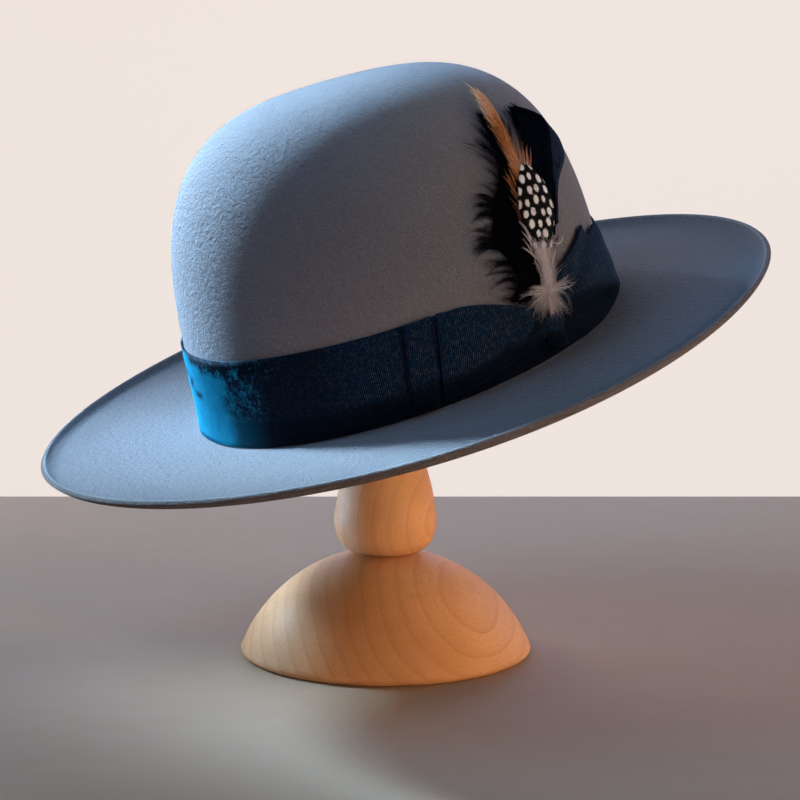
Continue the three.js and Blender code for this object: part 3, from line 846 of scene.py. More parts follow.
# %% [markdown]
# Black feathers are never flat black. Melanin absorbs most light, and thin layers in each barb
# send back a faint blue gloss. A dark blue base with a lower roughness on the blades hints at
# that, and a higher one suits the downy plume, which scatters light and has no gloss.

# %% Black feathers
def feather_material(name, dark, light, roughness, specular, **sheen):
    material, tree = new_material(name)
    at = place_of(tree)
    speckle = noise(tree, at, 700, 2, 0.6)
    share = plus(tree, times(tree, stored(tree, "tint"), 0.75), times(tree, speckle, 0.3))
    shade = blend(tree, span(tree, share, 0.1, 1.0), dark, light)
    fine = bump(tree, noise(tree, at, 2600, 1, 0.5), 0.00005, 0.4)
    finish_material(tree, Base_Color=shade, Roughness=roughness, Normal=fine,
                    Specular_IOR_Level=specular, **sheen)
    return material


plume_black = feather_material(
    "plume_black", (0.0020, 0.0022, 0.004), (0.009, 0.010, 0.017), 0.85, 0.0)
blade_black = feather_material(
    "blade_black", (0.0010, 0.0018, 0.0045), (0.004, 0.007, 0.016), 0.62, 0.0)
blade_blue = feather_material(
    "blade_blue", (0.0035, 0.0060, 0.0125), (0.012, 0.019, 0.036), 0.6, 0.02)


# %% [markdown]
# The blades and backings are thin curved leaves. Each is a grid laid on the crown between a left
# and a right edge, with a little crown of its own, closed at its rim.

# %% Leaves laid on the crown
def laid(angle, height, lift):
    return on_stand(lifted(angle, height, lift))


def leaf_piece(name, rows, thickness, material, steps, across, shape=None):
    table = table_columns(rows, steps, ("height", "left", "right", "lift", "crowned"))
    height, left, right, lift, crowned = (column[:, None] for column in table.values())
    u = shares(across + 1)
    angle = left * (1 - u) + right * u
    height = np.repeat(height, across + 1, 1)
    lift = lift + crowned * 4 * u * (1 - u)
    if shape is not None:
        angle, height, lift = shape(angle, height, lift, np.linspace(0, 1, steps)[:, None], u)
    thin = thickness * (0.25 + 0.75 * np.sin(math.pi * np.clip(u, 0.02, 0.98)) ** 0.5)
    points, faces = sheet(laid(angle, height, lift), laid(angle, height, lift - thin))
    return mesh_object(name, points, faces, material)


def edges_at(rows, held):
    """A feather's left and right edges at these heights."""
    table = table_columns(rows, feather_samples, ("height", "left", "right"))
    return [np.interp(held, table["height"], table[side]) for side in ("left", "right")]


def middle_at(rows, held):
    """A feather's middle and half its width at these heights."""
    left, right = edges_at(rows, held)
    return (left + right) / 2, (right - left) / 2


def joined(name, *pieces):
    """Several meshes joined into one piece."""
    bpy.ops.object.select_all(action="DESELECT")
    for piece in pieces:
        piece.select_set(True)
    bpy.context.view_layer.objects.active = pieces[0]
    bpy.ops.object.join()
    pieces[0].name = name
    pieces[0].data.name = name
    return pieces[0]


def over_band(height):
    """Feathers stand further out over the band than above it."""
    return 1.2 * (1 - smooth(height, 40, 46))


# %% [markdown]
# Marabou is the soft underside down of a large bird. Its barbs have no hooks, so they float apart:
# a dense black body, and locks that leave it to the front, bow upwards and come to a point. A
# backing leaf makes the body dark all through, and nearly five thousand barbs hide it. The locks
# are listed one by one, because the eye reads them as a silhouette: where each leaves the body,
# where its tip is, how much it bows and how full it is.

# %% Marabou plume
mm_per_degree, barb_points, marabou_lift = 1.62, 7, 1.6
lowest_barb, highest_barb = 24, 108
marabou_rows = cuts(
    "height left right", (27.5, -6, 0), (31, -11, 0.6), (34, -8.6, 1), (38, -7.4, 2.6),
    (43, -7.4, 4.6), (49, -8.2, 5), (56.5, -11.0, 5), (63, -8.6, 5.6), (70, -6.8, 6.4),
    (75, -2.4, 7), (82, 1.0, 7.6), (89, 3.6, 8.6), (96, 5.4, 9.2), (101, 7.0, 9.4), crowned=0.3)
for row in marabou_rows:
    row["lift"] = marabou_lift + over_band(row["height"])


def drawn_in(angle, height, lift, t, u):
    """The backing stops short of the outline on its open side, where only barbs show."""
    return angle + 1.3 * (1 - u) ** 1.5, height, lift - 0.2


backing = leaf_piece("marabou_backing", marabou_rows, 0.9, plume_black, 60, 16, drawn_in)


def dice(seed, count):
    """A random generator, and a function that draws a number for each of so many barbs."""
    chance = np.random.default_rng(seed)
    return chance, lambda low, high: chance.uniform(low, high, (count, 1))


def bent_lines(root, heading, reach, bend):
    """Lines in (angle, height) that start at a root and turn steadily as they go."""
    t = shares(barb_points)
    turn = np.radians(heading[:, None] + bend[:, None] * t)
    step = reach[:, None] / (barb_points - 1)
    across_mm = np.cumsum(np.cos(turn) * step, 1) - np.cos(turn[:, :1]) * step
    up_mm = np.cumsum(np.sin(turn) * step, 1) - np.sin(turn[:, :1]) * step
    return root[0][:, None] + across_mm / mm_per_degree, root[1][:, None] + up_mm, t


def down_barbs(count, heights, side, length, climb, spread, lifts, seed, loose=0.3,
               thick=(0.07, 0.15)):
    """Barbs that leave the plume's body and bend as they go. Side is -1 for the open side. Loose
    says how far they may pass the dense edge there."""
    chance, draw = dice(seed, count)
    root_height = chance.uniform(*heights, count)
    edge, other = edges_at(marabou_rows, root_height)[::-side]
    inside = chance.beta(1.3, 1.4, count)
    root_angle = edge + (other - edge) * (0.12 + 0.75 * inside) - 0.4 * side
    up = smooth(root_height, 30, 100)
    heading = climb[0] + (climb[1] - climb[0]) * up + chance.normal(0, spread, count)
    reach = length * chance.uniform(0.5, 1.2, count) * (1 - 0.3 * up)
    bend = chance.normal(-10, 22, count)
    angle, height, t = bent_lines((root_angle, root_height), heading, reach, bend)
    height = np.clip(height, lowest_barb, highest_barb)
    if side < 0:
        open_edge = edges_at(marabou_rows, height)[0]
        angle = np.where(angle < open_edge, open_edge - (open_edge - angle) * loose, angle)
    rise = chance.uniform(*lifts, count)[:, None] * np.sin(t * math.pi * 0.7)
    lift = marabou_lift + over_band(height) + 0.1 + rise + chance.normal(0, 0.25, (count, 1))
    girth = draw(*thick) * (1 - 0.85 * t ** 1.5)
    tint = draw(0, 1) * (0.3 + 0.7 * t)
    return laid(angle, height, np.maximum(lift, 0.25)), girth, tint


def in_locks(locks, count, low_lift, rise, root_spread, tip_spread, girth, seed):
    """Barbs that leave together and close to a point. Each lock: root, tip, bow and fullness."""
    chance, draw = dice(seed, count)
    table = np.array(locks, float)
    pick = chance.choice(len(table), count, p=table[:, 5] / table[:, 5].sum())
    root_angle, root_height, tip_angle, tip_height, bow, _ = table[pick].T
    root = np.stack([root_angle * mm_per_degree, root_height], -1)
    tip = np.stack([tip_angle * mm_per_degree, tip_height], -1)
    length = np.linalg.norm(tip - root, axis=1, keepdims=True)
    ahead = (tip - root) / length
    aside = np.stack([-ahead[:, 1], ahead[:, 0]], -1)
    begin = -draw(0.0, 0.35)
    stop = draw(0.5, 1.06)
    t = shares(barb_points)
    share = begin + (stop - begin) * t
    held = np.clip(share, 0, 1)
    near_root = chance.normal(0, root_spread, (count, 1)) * (1 - held)
    near_tip = chance.normal(0, tip_spread, (count, 1)) * held ** 1.5
    past = np.clip(share, 0, 1.2)
    side_mm = near_root + near_tip - bow[:, None] * 4 * past * (1 - past) * length / 10
    place = (root[:, None] + ahead[:, None] * (share * length)[..., None]
             + aside[:, None] * side_mm[..., None])
    angle, height = place[..., 0] / mm_per_degree, place[..., 1]
    rise = rise * draw(0.1, 1) * np.sin(t * math.pi * 0.62)
    lift = low_lift + over_band(height) + rise
    thick = draw(*girth) * (1 - 0.8 * held ** 2)
    return laid(angle, height, lift), thick, draw(0, 1) * (0.3 + 0.7 * t)


marabou_locks = [
    (-5.5, 71.5, -10.4, 76, 1.0, 5), (-6.6, 69.6, -12, 72.2, 1.2, 4), (-6, 66.2, -13, 69, 1.2, 3),
    (-5.8, 64.4, -14.2, 66.8, 1.8, 5), (-7, 62, -13.4, 62.6, 1.0, 1.5),
    (-9, 59.5, -16.4, 64.4, 1.0, 2), (-9.8, 57.4, -15.2, 61, 0.6, 4),
    (-10, 56, -15.8, 58.4, 0.8, 4), (-9.4, 54.8, -16.6, 55.8, 1.2, 4),
    (-8.6, 53.4, -16.6, 53, 1.8, 4), (-7, 51.4, -13.6, 52.4, 1.0, 1),
    (-5.4, 44.6, -15.2, 51.4, 0.4, 2.5), (-5.2, 43.8, -14.6, 45.4, 1.8, 4),
    (-5, 40.4, -16.4, 45.4, 0.8, 2), (-5.4, 38.6, -13, 40.4, 1.2, 1),
    (-5.2, 36, -15.6, 39.4, 1.8, 4), (-6.4, 34, -12.4, 37.2, 1.0, 1.5),
    (-9.4, 32.2, -14.2, 34.4, 0.8, 2), (-3.4, 73.4, -8.4, 81, 0.6, 1.5),
    (-2, 75.6, -6.2, 79.4, 0.6, 1), (-0.4, 79, -4.6, 84.6, 0.8, 1), (0.6, 84, -5.2, 91, 0.6, 0.8),
    (1, 86.4, -9.2, 98.4, 0.5, 1), (2.8, 86.6, -2.8, 95.2, 0.6, 4), (3.4, 89, -3.6, 98, 0.4, 1),
    (4.2, 90.6, 2.2, 98.6, 0.6, 3), (4.6, 93, 0.8, 101.6, 0.6, 1), (6, 96, 5, 102.4, 0.6, 2),
    (7.2, 98.6, 6.4, 103.8, 0.5, 2), (8.6, 92, 13.6, 99.4, -0.4, 4), (9, 89, 15.6, 98.4, -0.4, 5),
    (9.4, 86, 17, 96, -0.4, 4),
]
marabou = together(
    down_barbs(2150, (28, 100), -1, 6.5, (192, 116), 26, (0.2, 1.6), 3),
    down_barbs(550, (29, 98), 1, 6.0, (15, 74), 24, (0.1, 0.9), 4),
    in_locks(marabou_locks, 1200, marabou_lift + 0.2, 1.5, 0.95, 0.8, (0.03, 0.06), 5),
    down_barbs(900, (30, 98), -1, 14.0, (190, 116), 40, (0.6, 2.6), 6, 0.9, (0.025, 0.06)),
)
fluff = barb_piece("marabou_barbs", marabou, plume_black, 0.8, 260.0, 2)
seat(joined("marabou_down", backing, fluff), "marabou_plume", slot="black_feather")


# %% [markdown]
# Coque feathers are a cockerel's tail feathers: stiff, narrow and glossy, with barbs that hook
# together into one blade. A blade is a thin curved leaf, and fine barbs laid over it from the
# quill to the rim give it grain and a slightly ragged edge.

# %% Coque blades
back_blade_rows = cuts(
    "height left right", (50, 11.5, 15.5), (60, 15, 20), (66, 18.5, 26), (70, 21, 37.5),
    (76, 24, 42.4), (82, 30, 41.6), (86, 35, 39.5), lift=1.3, crowned=0.25)
front_blade_rows = cuts(
    "height left right", (47, 5.6, 11), (58, 8, 15.5), (68, 11, 20), (77, 13, 26.5),
    (84, 15.2, 34), (89, 17.2, 36), (94, 19.4, 31), (98.6, 21, 24.6), lift=3.0, crowned=0.25)


def blade(name, node, rows, count, seed, foot_locks, gloss):
    leaf = leaf_piece(name + "_leaf", rows, 0.35, gloss, 70, 24)
    lift, low, high = rows[0]["lift"], rows[0]["height"], rows[-1]["height"]
    chance, draw = dice(seed, count)
    t = shares(6)
    root_height = chance.uniform(low, low + 0.93 * (high - low), (count, 1))
    side = chance.choice([-1.0, 1.0], count)[:, None]
    height = root_height + draw(5, 9) * t ** 1.2
    middle, half = middle_at(rows, np.minimum(height, high))
    over = draw(0.9, 1.06)
    start = draw(0.0, 0.5)
    angle = middle + side * half * (start + (over - start) * t)
    height = np.where(height > high, high + 0.4 * (height - high), height)
    level = lift + 0.12 + 0.25 * (1 - (start + (1 - start) * t) ** 2)
    level = level + draw(0, 0.18)
    girth = draw(0.06, 0.11) * (1 - 0.7 * t ** 2)
    group = laid(angle, height, level), girth, draw(0, 1)
    vane = barb_piece(name + "_barbs", group, gloss, 0.25, 240.0, seed)
    lines, girth, _ = in_locks(foot_locks, 260, lift, 1.0, 0.9, 0.8, (0.05, 0.1), seed + 1)
    foot = barb_piece(name + "_foot", (lines, girth, 0.0), plume_black, 0.9, 240.0, seed)
    seat(joined(name, leaf, vane, foot), node, slot="black_feather")


back_foot_locks = [
    (12, 57, 17, 62, 0.6, 1), (12.5, 55, 18.5, 60.5, 0.4, 1), (11.5, 53, 17, 56.5, -0.6, 1),
    (16, 61, 21.5, 66, 0.4, 1),
]
front_foot_locks = [
    (9, 51, 15.5, 55, -0.8, 3), (10, 54, 16.5, 58, -0.6, 3), (9, 48.5, 14.5, 51.5, -0.8, 3),
    (11.5, 57, 17.5, 62.5, 0.6, 2), (8.4, 47, 11.8, 46.6, 2.4, 3), (8, 46, 10.6, 44, 2.6, 3),
    (17.5, 92, 19.5, 100.6, 0.4, 2), (18.5, 94, 23, 100.4, 0.4, 3), (21, 95, 26.4, 99.6, 0.3, 3),
    (14.5, 84, 16.4, 93, 0.4, 2),
]
blade("coque_back", "coque_feather_back", back_blade_rows, 1500, 21, back_foot_locks, blade_blue)
blade("coque_front", "coque_feather_front", front_blade_rows, 2000, 22, front_foot_locks,
      blade_black)


# %% [markdown]
# The golden hackle comes from the neck of a bird. It is long and thin, and its barbs lie almost
# along the quill, so it splits into pointed wisps. It is cream at its tip, burnt orange in the
# middle and brown at its foot, so its material reads one number from each barb and looks it up in
# a row of four colours.

# %% Golden hackle
golden, tree = new_material("golden_feather")
grain = noise(tree, place_of(tree), 900, 2, 0.6)
share = plus(tree, stored(tree, "tint"), span(tree, grain, 0.3, 0.7, -0.10, 0.10))
ramp = add(tree, "ShaderNodeValToRGB", Fac=share)
stops = ramp.color_ramp.elements
stops[0].color, stops[1].color = (0.050, 0.018, 0.008, 1), (1.0, 0.86, 0.66, 1)
stops.new(0.30).color = (0.50, 0.125, 0.012, 1)
stops.new(0.62).color = (1.0, 0.37, 0.035, 1)
finish_material(tree, Base_Color=ramp.outputs["Color"], Roughness=0.5, Specular_IOR_Level=0.35,
                Normal=bump(tree, grain, 0.00005, 0.4), Sheen_Weight=0.15, Sheen_Roughness=0.35,
                Sheen_Tint=(1.0, 0.85, 0.65))
hackle_foot, hackle_tip, hackle_steps, hackle_across = 72, 108.5, 60, 10
hackle_rows = cuts(
    "height left right", (hackle_foot, 4.8, 7.6), (77, 4.6, 8.6), (82, 4.8, 9.4), (87, 5.3, 10.4),
    (94, 6.2, 12), (100, 7.6, 13.2), (104.5, 9.8, 14.6), (hackle_tip, 12.6, 16.2),
    lift=2.9, crowned=0.2)


def slim(angle, height, lift, t, u):
    return angle + (0.5 - u) * 2.6 * (0.35 + t), height, lift - 0.15


def hackle_tint(height, spread):
    """Brown at the foot, orange in the middle, cream towards the tip."""
    paler = 0.12 * (1 - smooth(height, 82, 92)) * smooth(height, 74, 80)
    middle = 0.27 + paler + 0.50 * smooth(height, 96, 106)
    return np.clip(middle - 0.30 * (1 - smooth(height, 70, 80)) + spread, 0, 1)


hackle_leaf = leaf_piece("hackle_leaf", hackle_rows, 0.3, golden, hackle_steps, hackle_across, slim)
leaf_heights = np.linspace(hackle_foot, hackle_tip, hackle_steps)
leaf_tint = hackle_tint(leaf_heights, -0.1)
store(hackle_leaf, "tint", np.repeat(leaf_tint, 2 * (hackle_across + 1)))


def hackle_lines(count, seed):
    chance, draw = dice(seed, count)
    t = shares(barb_points)
    height = draw(66, 103) + draw(6, 13) * t
    middle, half = middle_at(hackle_rows, np.clip(height, hackle_foot, hackle_tip))
    side = draw(-1, 1)
    stray = chance.normal(0, 0.14, (count, 1))
    angle = middle + half * (side * (0.25 + 0.85 * t) + stray * t)
    past = height - hackle_tip
    height = np.where(past > 0, hackle_tip + 0.35 * past, height)
    lift = 3.0 + 0.2 * (1 - side ** 2) + draw(0, 0.5) * t
    girth = draw(0.04, 0.08) * (1 - 0.8 * t ** 1.6)
    tint = hackle_tint(height, chance.normal(0, 0.4, (count, 1)) + 0.12 * t)
    return laid(angle, height, lift), girth, tint


hackle_wisps = [
    (12, 102, 15.7, 113.6, 0.2, 4), (11.4, 101, 14.4, 111.6, 0.2, 4), (11, 99, 12.8, 109.8, 0.4, 4),
    (10.4, 97, 10.6, 106.8, 0.5, 4), (9.8, 94, 8.8, 104.2, 0.5, 4), (9.2, 90, 7, 100.2, 0.5, 4),
    (8.8, 86, 5.8, 96.4, 0.4, 3), (8.4, 82, 5.8, 91.4, 0.4, 3), (12, 100, 16.8, 110.4, -0.3, 4),
    (11.6, 97, 16.6, 107.6, -0.4, 4), (10.8, 93, 15, 103.6, -0.4, 4),
    (9.8, 89, 13.2, 99.4, -0.4, 4), (9.2, 85, 12.4, 93.8, -0.3, 3),
    (9.6, 78, 14.8, 86.4, -0.2, 0.7), (10.2, 76.4, 15.6, 84.4, -0.1, 0.7),
    (11.6, 75.6, 16.4, 82.6, 0, 0.7), (10.4, 82, 16.4, 98, -0.1, 0.5),
    (9.8, 80, 15.2, 93, 0.1, 0.4), (9, 76, 13.6, 90, -0.2, 0.5), (7.4, 79, 4.8, 87, 0.3, 2),
    (6.4, 74, 4.2, 82, 0.3, 2), (2.4, 69.4, 0.8, 78.4, 0.2, 0.8), (2, 66, 0, 75.4, 0.2, 0.8),
    (2.2, 72, 2.4, 80.4, 0.2, 0.8), (1.4, 62, -0.6, 70, 0.3, 0.8), (1, 57.4, -0.4, 67.6, 0.2, 0.8),
    (3.6, 72.6, 3.8, 79.6, 0.2, 0.8),
]
wisps, wisp_girth, wisp_tone = in_locks(
    hackle_wisps, 760, 3.2, 0.7, 0.7, 0.25, (0.04, 0.08), 32)
wisp_height = (wisps / MM - hat_place) @ np.array(hat_matrix)[:, 2]
wisp_tint = hackle_tint(wisp_height, 0.9 * (wisp_tone[:, -1:] - 0.45))
hackle = together(hackle_lines(1100, 31), (wisps, wisp_girth, wisp_tint))
hackle_vane = barb_piece("hackle_barbs", hackle, golden, 0.4, 200.0, 7)
seat(joined("hackle_feather", hackle_leaf, hackle_vane), "golden_hackle", slot="gold_feather")


# %% [markdown]
# A guinea fowl's feather is black with white spots that stand in staggered rows, one spot where a
# few barbs turn white together. The spots are worked out on the feather's own grid and stored on
# its points as a number, which the material then turns into white.

# %% Guinea feather
# Its rows are cut across its own quill: how far up the quill, and the edges to the left and right,
# in mm.
quill_foot, quill_lean = (4.0, 47.0), math.radians(15)
guinea_foot, guinea_tip, guinea_steps, guinea_across = -2, 32, 96, 48
guinea_rows = cuts(
    "height left right", (guinea_foot, -3.6, 6), (2, -5.8, 6.8), (6, -7.6, 8.6), (10, -8.8, 10.4),
    (15, -9.2, 10.8), (20, -8, 10.6), (24.5, -6.6, 9.4), (28.5, -4.6, 6.6),
    (guinea_tip, -1.8, 2.4), lift=4.3, crowned=0.5)


def from_quill(across_mm, up_mm):
    """The feather's own millimetres as an angle round the hat and a height."""
    c, s = math.cos(quill_lean), math.sin(quill_lean)
    angle = quill_foot[0] + (s * up_mm + c * across_mm) / mm_per_degree
    return angle, quill_foot[1] + c * up_mm - s * across_mm


def on_quill(across_mm, up_mm, lift, t, u):
    return *from_quill(across_mm, up_mm), lift


spotted, tree = new_material("guinea_feather_vane")
grain = noise(tree, place_of(tree), 1400, 2, 0.6)
ragged = plus(tree, stored(tree, "tint"), span(tree, grain, 0.3, 0.7, -0.08, 0.08))
white = blend(tree, grain, (0.98, 0.98, 0.98), (1.0, 1.0, 1.0))
black = blend(tree, grain, (0.0015, 0.0015, 0.002), (0.008, 0.006, 0.006))
finish_material(tree, Base_Color=blend(tree, span(tree, ragged, 0.42, 0.58), black, white),
                Roughness=0.7, Specular_IOR_Level=0.05, Normal=bump(tree, grain, 0.00008, 0.4))

spot_gap, spot_row, spot_start = 5.0, 4.6, 0.6


def spot_at(across_mm, up_mm):
    """How white the feather is at a place: 1 in the middle of a spot, 0 well outside."""
    up_mm = up_mm + 0.018 * across_mm ** 2
    row = np.round((up_mm + spot_start) / spot_row)
    shift = np.where(np.mod(row, 2) == 0, 0.5, 0.5 - spot_gap / 2)
    column = np.round((across_mm - shift) / spot_gap)
    drift_x = 0.45 * np.sin(3.1 * column + 1.7 * row)
    drift_y = 0.50 * np.sin(2.3 * row + 4.1 * column)
    dx = across_mm - shift - column * spot_gap - drift_x
    dy = up_mm + spot_start - row * spot_row - drift_y
    size = 1 + 0.12 * np.sin(5.1 * row + 2.9 * column)
    return 1 - np.sqrt((dx / (1.38 * size)) ** 2 + (dy / (1.66 * size)) ** 2) * 0.5


guinea_leaf = leaf_piece("guinea_leaf", guinea_rows, 0.5, spotted, guinea_steps, guinea_across,
                         on_quill)
table = table_columns(guinea_rows, guinea_steps, ("height", "left", "right"))
up_mm, left, right = (column[:, None] for column in table.values())
u = shares(guinea_across + 1)
store(guinea_leaf, "tint", both(spot_at(left * (1 - u) + right * u, up_mm)))


def guinea_lines(count, seed):
    chance, draw = dice(seed, count)
    t = shares(9)
    up_mm = draw(guinea_foot, 30) + draw(3, 7) * t
    middle, half = middle_at(guinea_rows, np.minimum(up_mm, guinea_tip))
    side = chance.choice([-1.0, 1.0], count)[:, None]
    start = draw(0, 0.75)
    reach = start + (draw(0.88, 1.08) - start) * t
    across_mm = middle + side * half * reach
    past = up_mm - guinea_tip
    up_mm = np.where(past > 0, guinea_tip + 0.3 * past, up_mm)
    lift = 4.35 + 0.5 * (1 - reach ** 2) + draw(0, 0.12)
    girth = draw(0.06, 0.10) * (1 - 0.5 * t ** 2)
    return laid(*from_quill(across_mm, up_mm), lift), girth, spot_at(across_mm, up_mm)


guinea_vane = barb_piece("guinea_barbs", guinea_lines(1500, 41), spotted, 0.12, 300.0, 9)
seat(joined("guinea_vane", guinea_leaf, guinea_vane), "guinea_feather", slot="spotted_feather")


# %% [markdown]
# The foot of that feather is down: pinkish grey fluff that narrows round the quill and then
# bursts open over the bow. It is nearly all barbs, with only a narrow leaf under them. Those of the
# stem run down the quill, and those of the tuft fly out from its end.

# %% Downy tuft
down = feather_material("down", (0.34, 0.22, 0.18), (1.0, 0.96, 0.98), 0.85, 0.1,
                        Sheen_Weight=0.6, Sheen_Roughness=0.35, Sheen_Tint=(0.95, 0.97, 1.0))
tuft_rows = cuts(
    "height left right lift", (19, -3.2, 1.6, 7.0), (23, -4, 3, 7.2), (27, -3.2, 3.6, 6.6),
    (31, -0.6, 4.2, 5.6), (36, -0.3, 5.6, 5.0), (43, -0.2, 6.4, 4.6), (49, 0.4, 6.4, 4.3))


def tuft_core(angle, height, lift, t, u):
    middle = angle.mean(axis=1, keepdims=True)
    return middle + (angle - middle) * (0.12 + 0.4 * smooth(height, 26, 32)), height, lift - 0.2


core = leaf_piece("tuft_core", tuft_rows, 0.8, down, 40, 10, tuft_core)


def stem_lines(count, seed):
    """Down along the quill, from the vane's foot to the tuft."""
    chance, draw = dice(seed, count)
    table = table_columns(tuft_rows, feather_samples, ("height", "lift"))
    t = shares(barb_points)
    side = chance.normal(0, 0.42, (count, 1)).clip(-1.1, 1.1)
    height = draw(30, 53) - draw(3, 8) * t
    held = np.clip(height, 27, 49)
    middle, half = middle_at(tuft_rows, held)
    flare = 1 + chance.normal(0, 0.18, (count, 1)) * t
    rise = draw(0.1, 0.9) * np.sin(math.pi * 0.6 * t)
    lift = np.interp(held, table["height"], table["lift"]) + rise
    girth = draw(0.035, 0.075) * (1 - 0.7 * t ** 1.5)
    # Painted shade: the down on the stem's right side, away from the window, is darker.
    tint = draw(0.35, 0.95) - 0.5 * smooth(side, 0.05, 0.8) + 0 * t
    return laid(middle + half * side * flare, height, lift), girth, tint


burst_angle, burst_height = -0.2, 29.2
tuft_reach = {-180: 14.5, -160: 12, -140: 13.5, -120: 13, -95: 12, -60: 15.5, -40: 14, -15: 17,
              0: 20, 15: 12, 35: 15, 55: 12, 75: 5, 100: 4, 130: 5.5, 150: 9, 165: 15, 180: 14.5}
tuft_ways = {(-176, -60): 0.64, (150, 182): 0.09, (-60, -16): 0.12, (-18, 14): 0.10,
             (14, 150): 0.05}


def burst_locks(count, seed):
    """Thin locks that burst from one point, each as long as the table says for its direction."""
    chance = np.random.default_rng(seed)
    locks = []
    for _ in range(count):
        low, high = list(tuft_ways)[chance.choice(len(tuft_ways), p=list(tuft_ways.values()))]
        way = chance.uniform(low, high)
        furthest = float(np.interp(way, list(tuft_reach), list(tuft_reach.values())))
        reach = furthest * chance.uniform(0.6, 1.12)
        over, up = math.cos(math.radians(way)), math.sin(math.radians(way))
        root = (burst_angle + over / 1.6, burst_height + 0.8 * up)
        tip = (burst_angle + over * reach / mm_per_degree, burst_height + up * reach)
        locks.append((*root, *tip, chance.normal(0, 1.2), chance.uniform(0.3, 1.4)))
    return locks


edge_hairs = [
    (0.2, 43.2, -2.9, 50, 0.4, 3), (-0.2, 45, -2.1, 53.6, 0.3, 3), (0.4, 49, -1.6, 56, 0.3, 2),
    (0.6, 54, -1.6, 61, 0.2, 2), (4.8, 42, 8.6, 48.4, -0.3, 2), (4.6, 38, 8, 43.6, -0.3, 1.5),
    (-0.2, 38, -1.8, 43.4, 0.3, 1), (0.6, 51, -0.4, 58.4, 0.2, 2), (6.6, 47.2, 12.8, 45.8, 3.0, 3),
    (6.8, 46.2, 10.6, 47.8, 1.6, 2),
]
lines, girth, tint = together(
    stem_lines(800, 51),
    in_locks(burst_locks(96, 54), 620, 5.0, 2.4, 0.35, 0.6, (0.025, 0.055), 52),
    in_locks(edge_hairs, 110, 4.4, 0.8, 0.35, 0.3, (0.035, 0.06), 53),
)
paler = lines, girth, np.clip(tint * 0.85 + 0.15, 0, 1)
tuft_fluff = barb_piece("tuft_barbs", paler, down, 0.9, 220.0, 5)
seat(joined("down_tuft", core, tuft_fluff), "fluff_tuft", slot="down")


# %% [markdown]
# The stand is turned on a lathe from a pale close-grained hardwood and given a thin satin varnish.
# Spinning an outline round an axis is the modeller's own lathe. The growth rings are cylinders of
# slightly darker wood in the board that the piece was cut from, so they cross the dome as arcs.
# Such a close grain is cut clean by the tool, and its faint gloss comes from the varnish, as coat.

# %% Wood
ring_gap, fine_ring_gap = 0.0076, 0.0023
wood, tree = new_material("wood")
at = place_of(tree, shift=(-0.060, 0.045, -0.062))
warp = add(tree, "ShaderNodeTexNoise", Vector=at, Scale=14.0, Detail=2.0).outputs["Color"]
bent = vectors(tree, "SCALE", vectors(tree, "SUBTRACT", warp, i1=(0.5, 0.5, 0.5)), Scale=0.012)
board = vectors(tree, "ADD", at, i1=bent)
x_part, y_part, z_part = add(tree, "ShaderNodeSeparateXYZ", Vector=board).outputs
square = plus(tree, maths(tree, "POWER", x_part, 2.0), maths(tree, "POWER", z_part, 2.0))
radius = plus(tree, maths(tree, "SQRT", square), times(tree, y_part, 0.16))
ring, fine_ring = (maths(tree, "FRACT", times(tree, radius, 1 / gap))
                   for gap in (ring_gap, fine_ring_gap))
long_grain = add(tree, "ShaderNodeMapping", Vector=at, Scale=(1, 0.06, 1))
pores = noise(tree, long_grain.outputs[0], 1300, 3, 0.6)
cloud = noise(tree, at, 22, 3, 0.5)
honey = layered(
    tree, (0.50, 0.245, 0.105),
    (span(tree, cloud, 0.3, 0.7), (0.64, 0.35, 0.17)),
    (times(tree, maths(tree, "POWER", ring, 3.5), 0.34), (0.38, 0.16, 0.06)),
    (times(tree, fine_ring, 0.10), (0.36, 0.17, 0.07)),
    (span(tree, pores, 0.50, 0.72, 0.0, 0.38), (0.34, 0.15, 0.06)),
)
finish_material(tree, Base_Color=honey, Roughness=0.6, Normal=bump(tree, pores, 0.00006, 0.35),
                Specular_IOR_Level=0.1, Coat_Weight=0.03, Coat_Roughness=0.3)


# %% Stand: dome and stem
foot_radius, foot_rounding, dome_radius, seat_radius = 65.9, 2.8, 71.0, 12.5
head_radius, head_rim, post_radius = 45.0, 38.0, 12.0
dome_centre = foot_rounding - math.sqrt(dome_radius ** 2 - foot_radius ** 2)
seat_height = dome_centre + math.sqrt(dome_radius ** 2 - (seat_radius + 1) ** 2)


def arc(radius, centre, begin, finish, count):
    """Part of a circle round a point on the stand's axis, as (radius, height) points."""
    return [(radius * math.cos(a), centre + radius * math.sin(a))
            for a in np.linspace(begin, finish, count)]


def turned_piece(name, outline, segments):
    """(radius, height) points, spun round the stand's axis. The first and last lie on the axis."""
    outline = np.asarray(outline, float)
    inner = outline[1:-1]
    turn = np.arange(segments) * 2 * math.pi / segments
    rings = np.stack([inner[:, :1] * np.cos(turn), inner[:, :1] * np.sin(turn),
                      np.repeat(inner[:, 1:], segments, 1)], -1)
    points, faces = capped(rings, [0, 0, outline[0, 1]], [0, 0, outline[-1, 1]])
    return mesh_object(name, points * MM, faces, wood)


foot = [(0, 0), (20, 0), (45, 0), (58, 0), (foot_radius - foot_rounding, 0),
        (foot_radius - 1.7, 0.3), (foot_radius - 0.8, 0.9), (foot_radius - 0.15, 1.8)]
dome = arc(dome_radius, dome_centre, math.asin((foot_rounding - dome_centre) / dome_radius),
           math.asin((seat_height - dome_centre) / dome_radius), 44)
base = turned_piece("turned_base", [*foot, *dome, (8, seat_height), (0, seat_height)], 192)
seat(base, "stand_base", slot="wood")

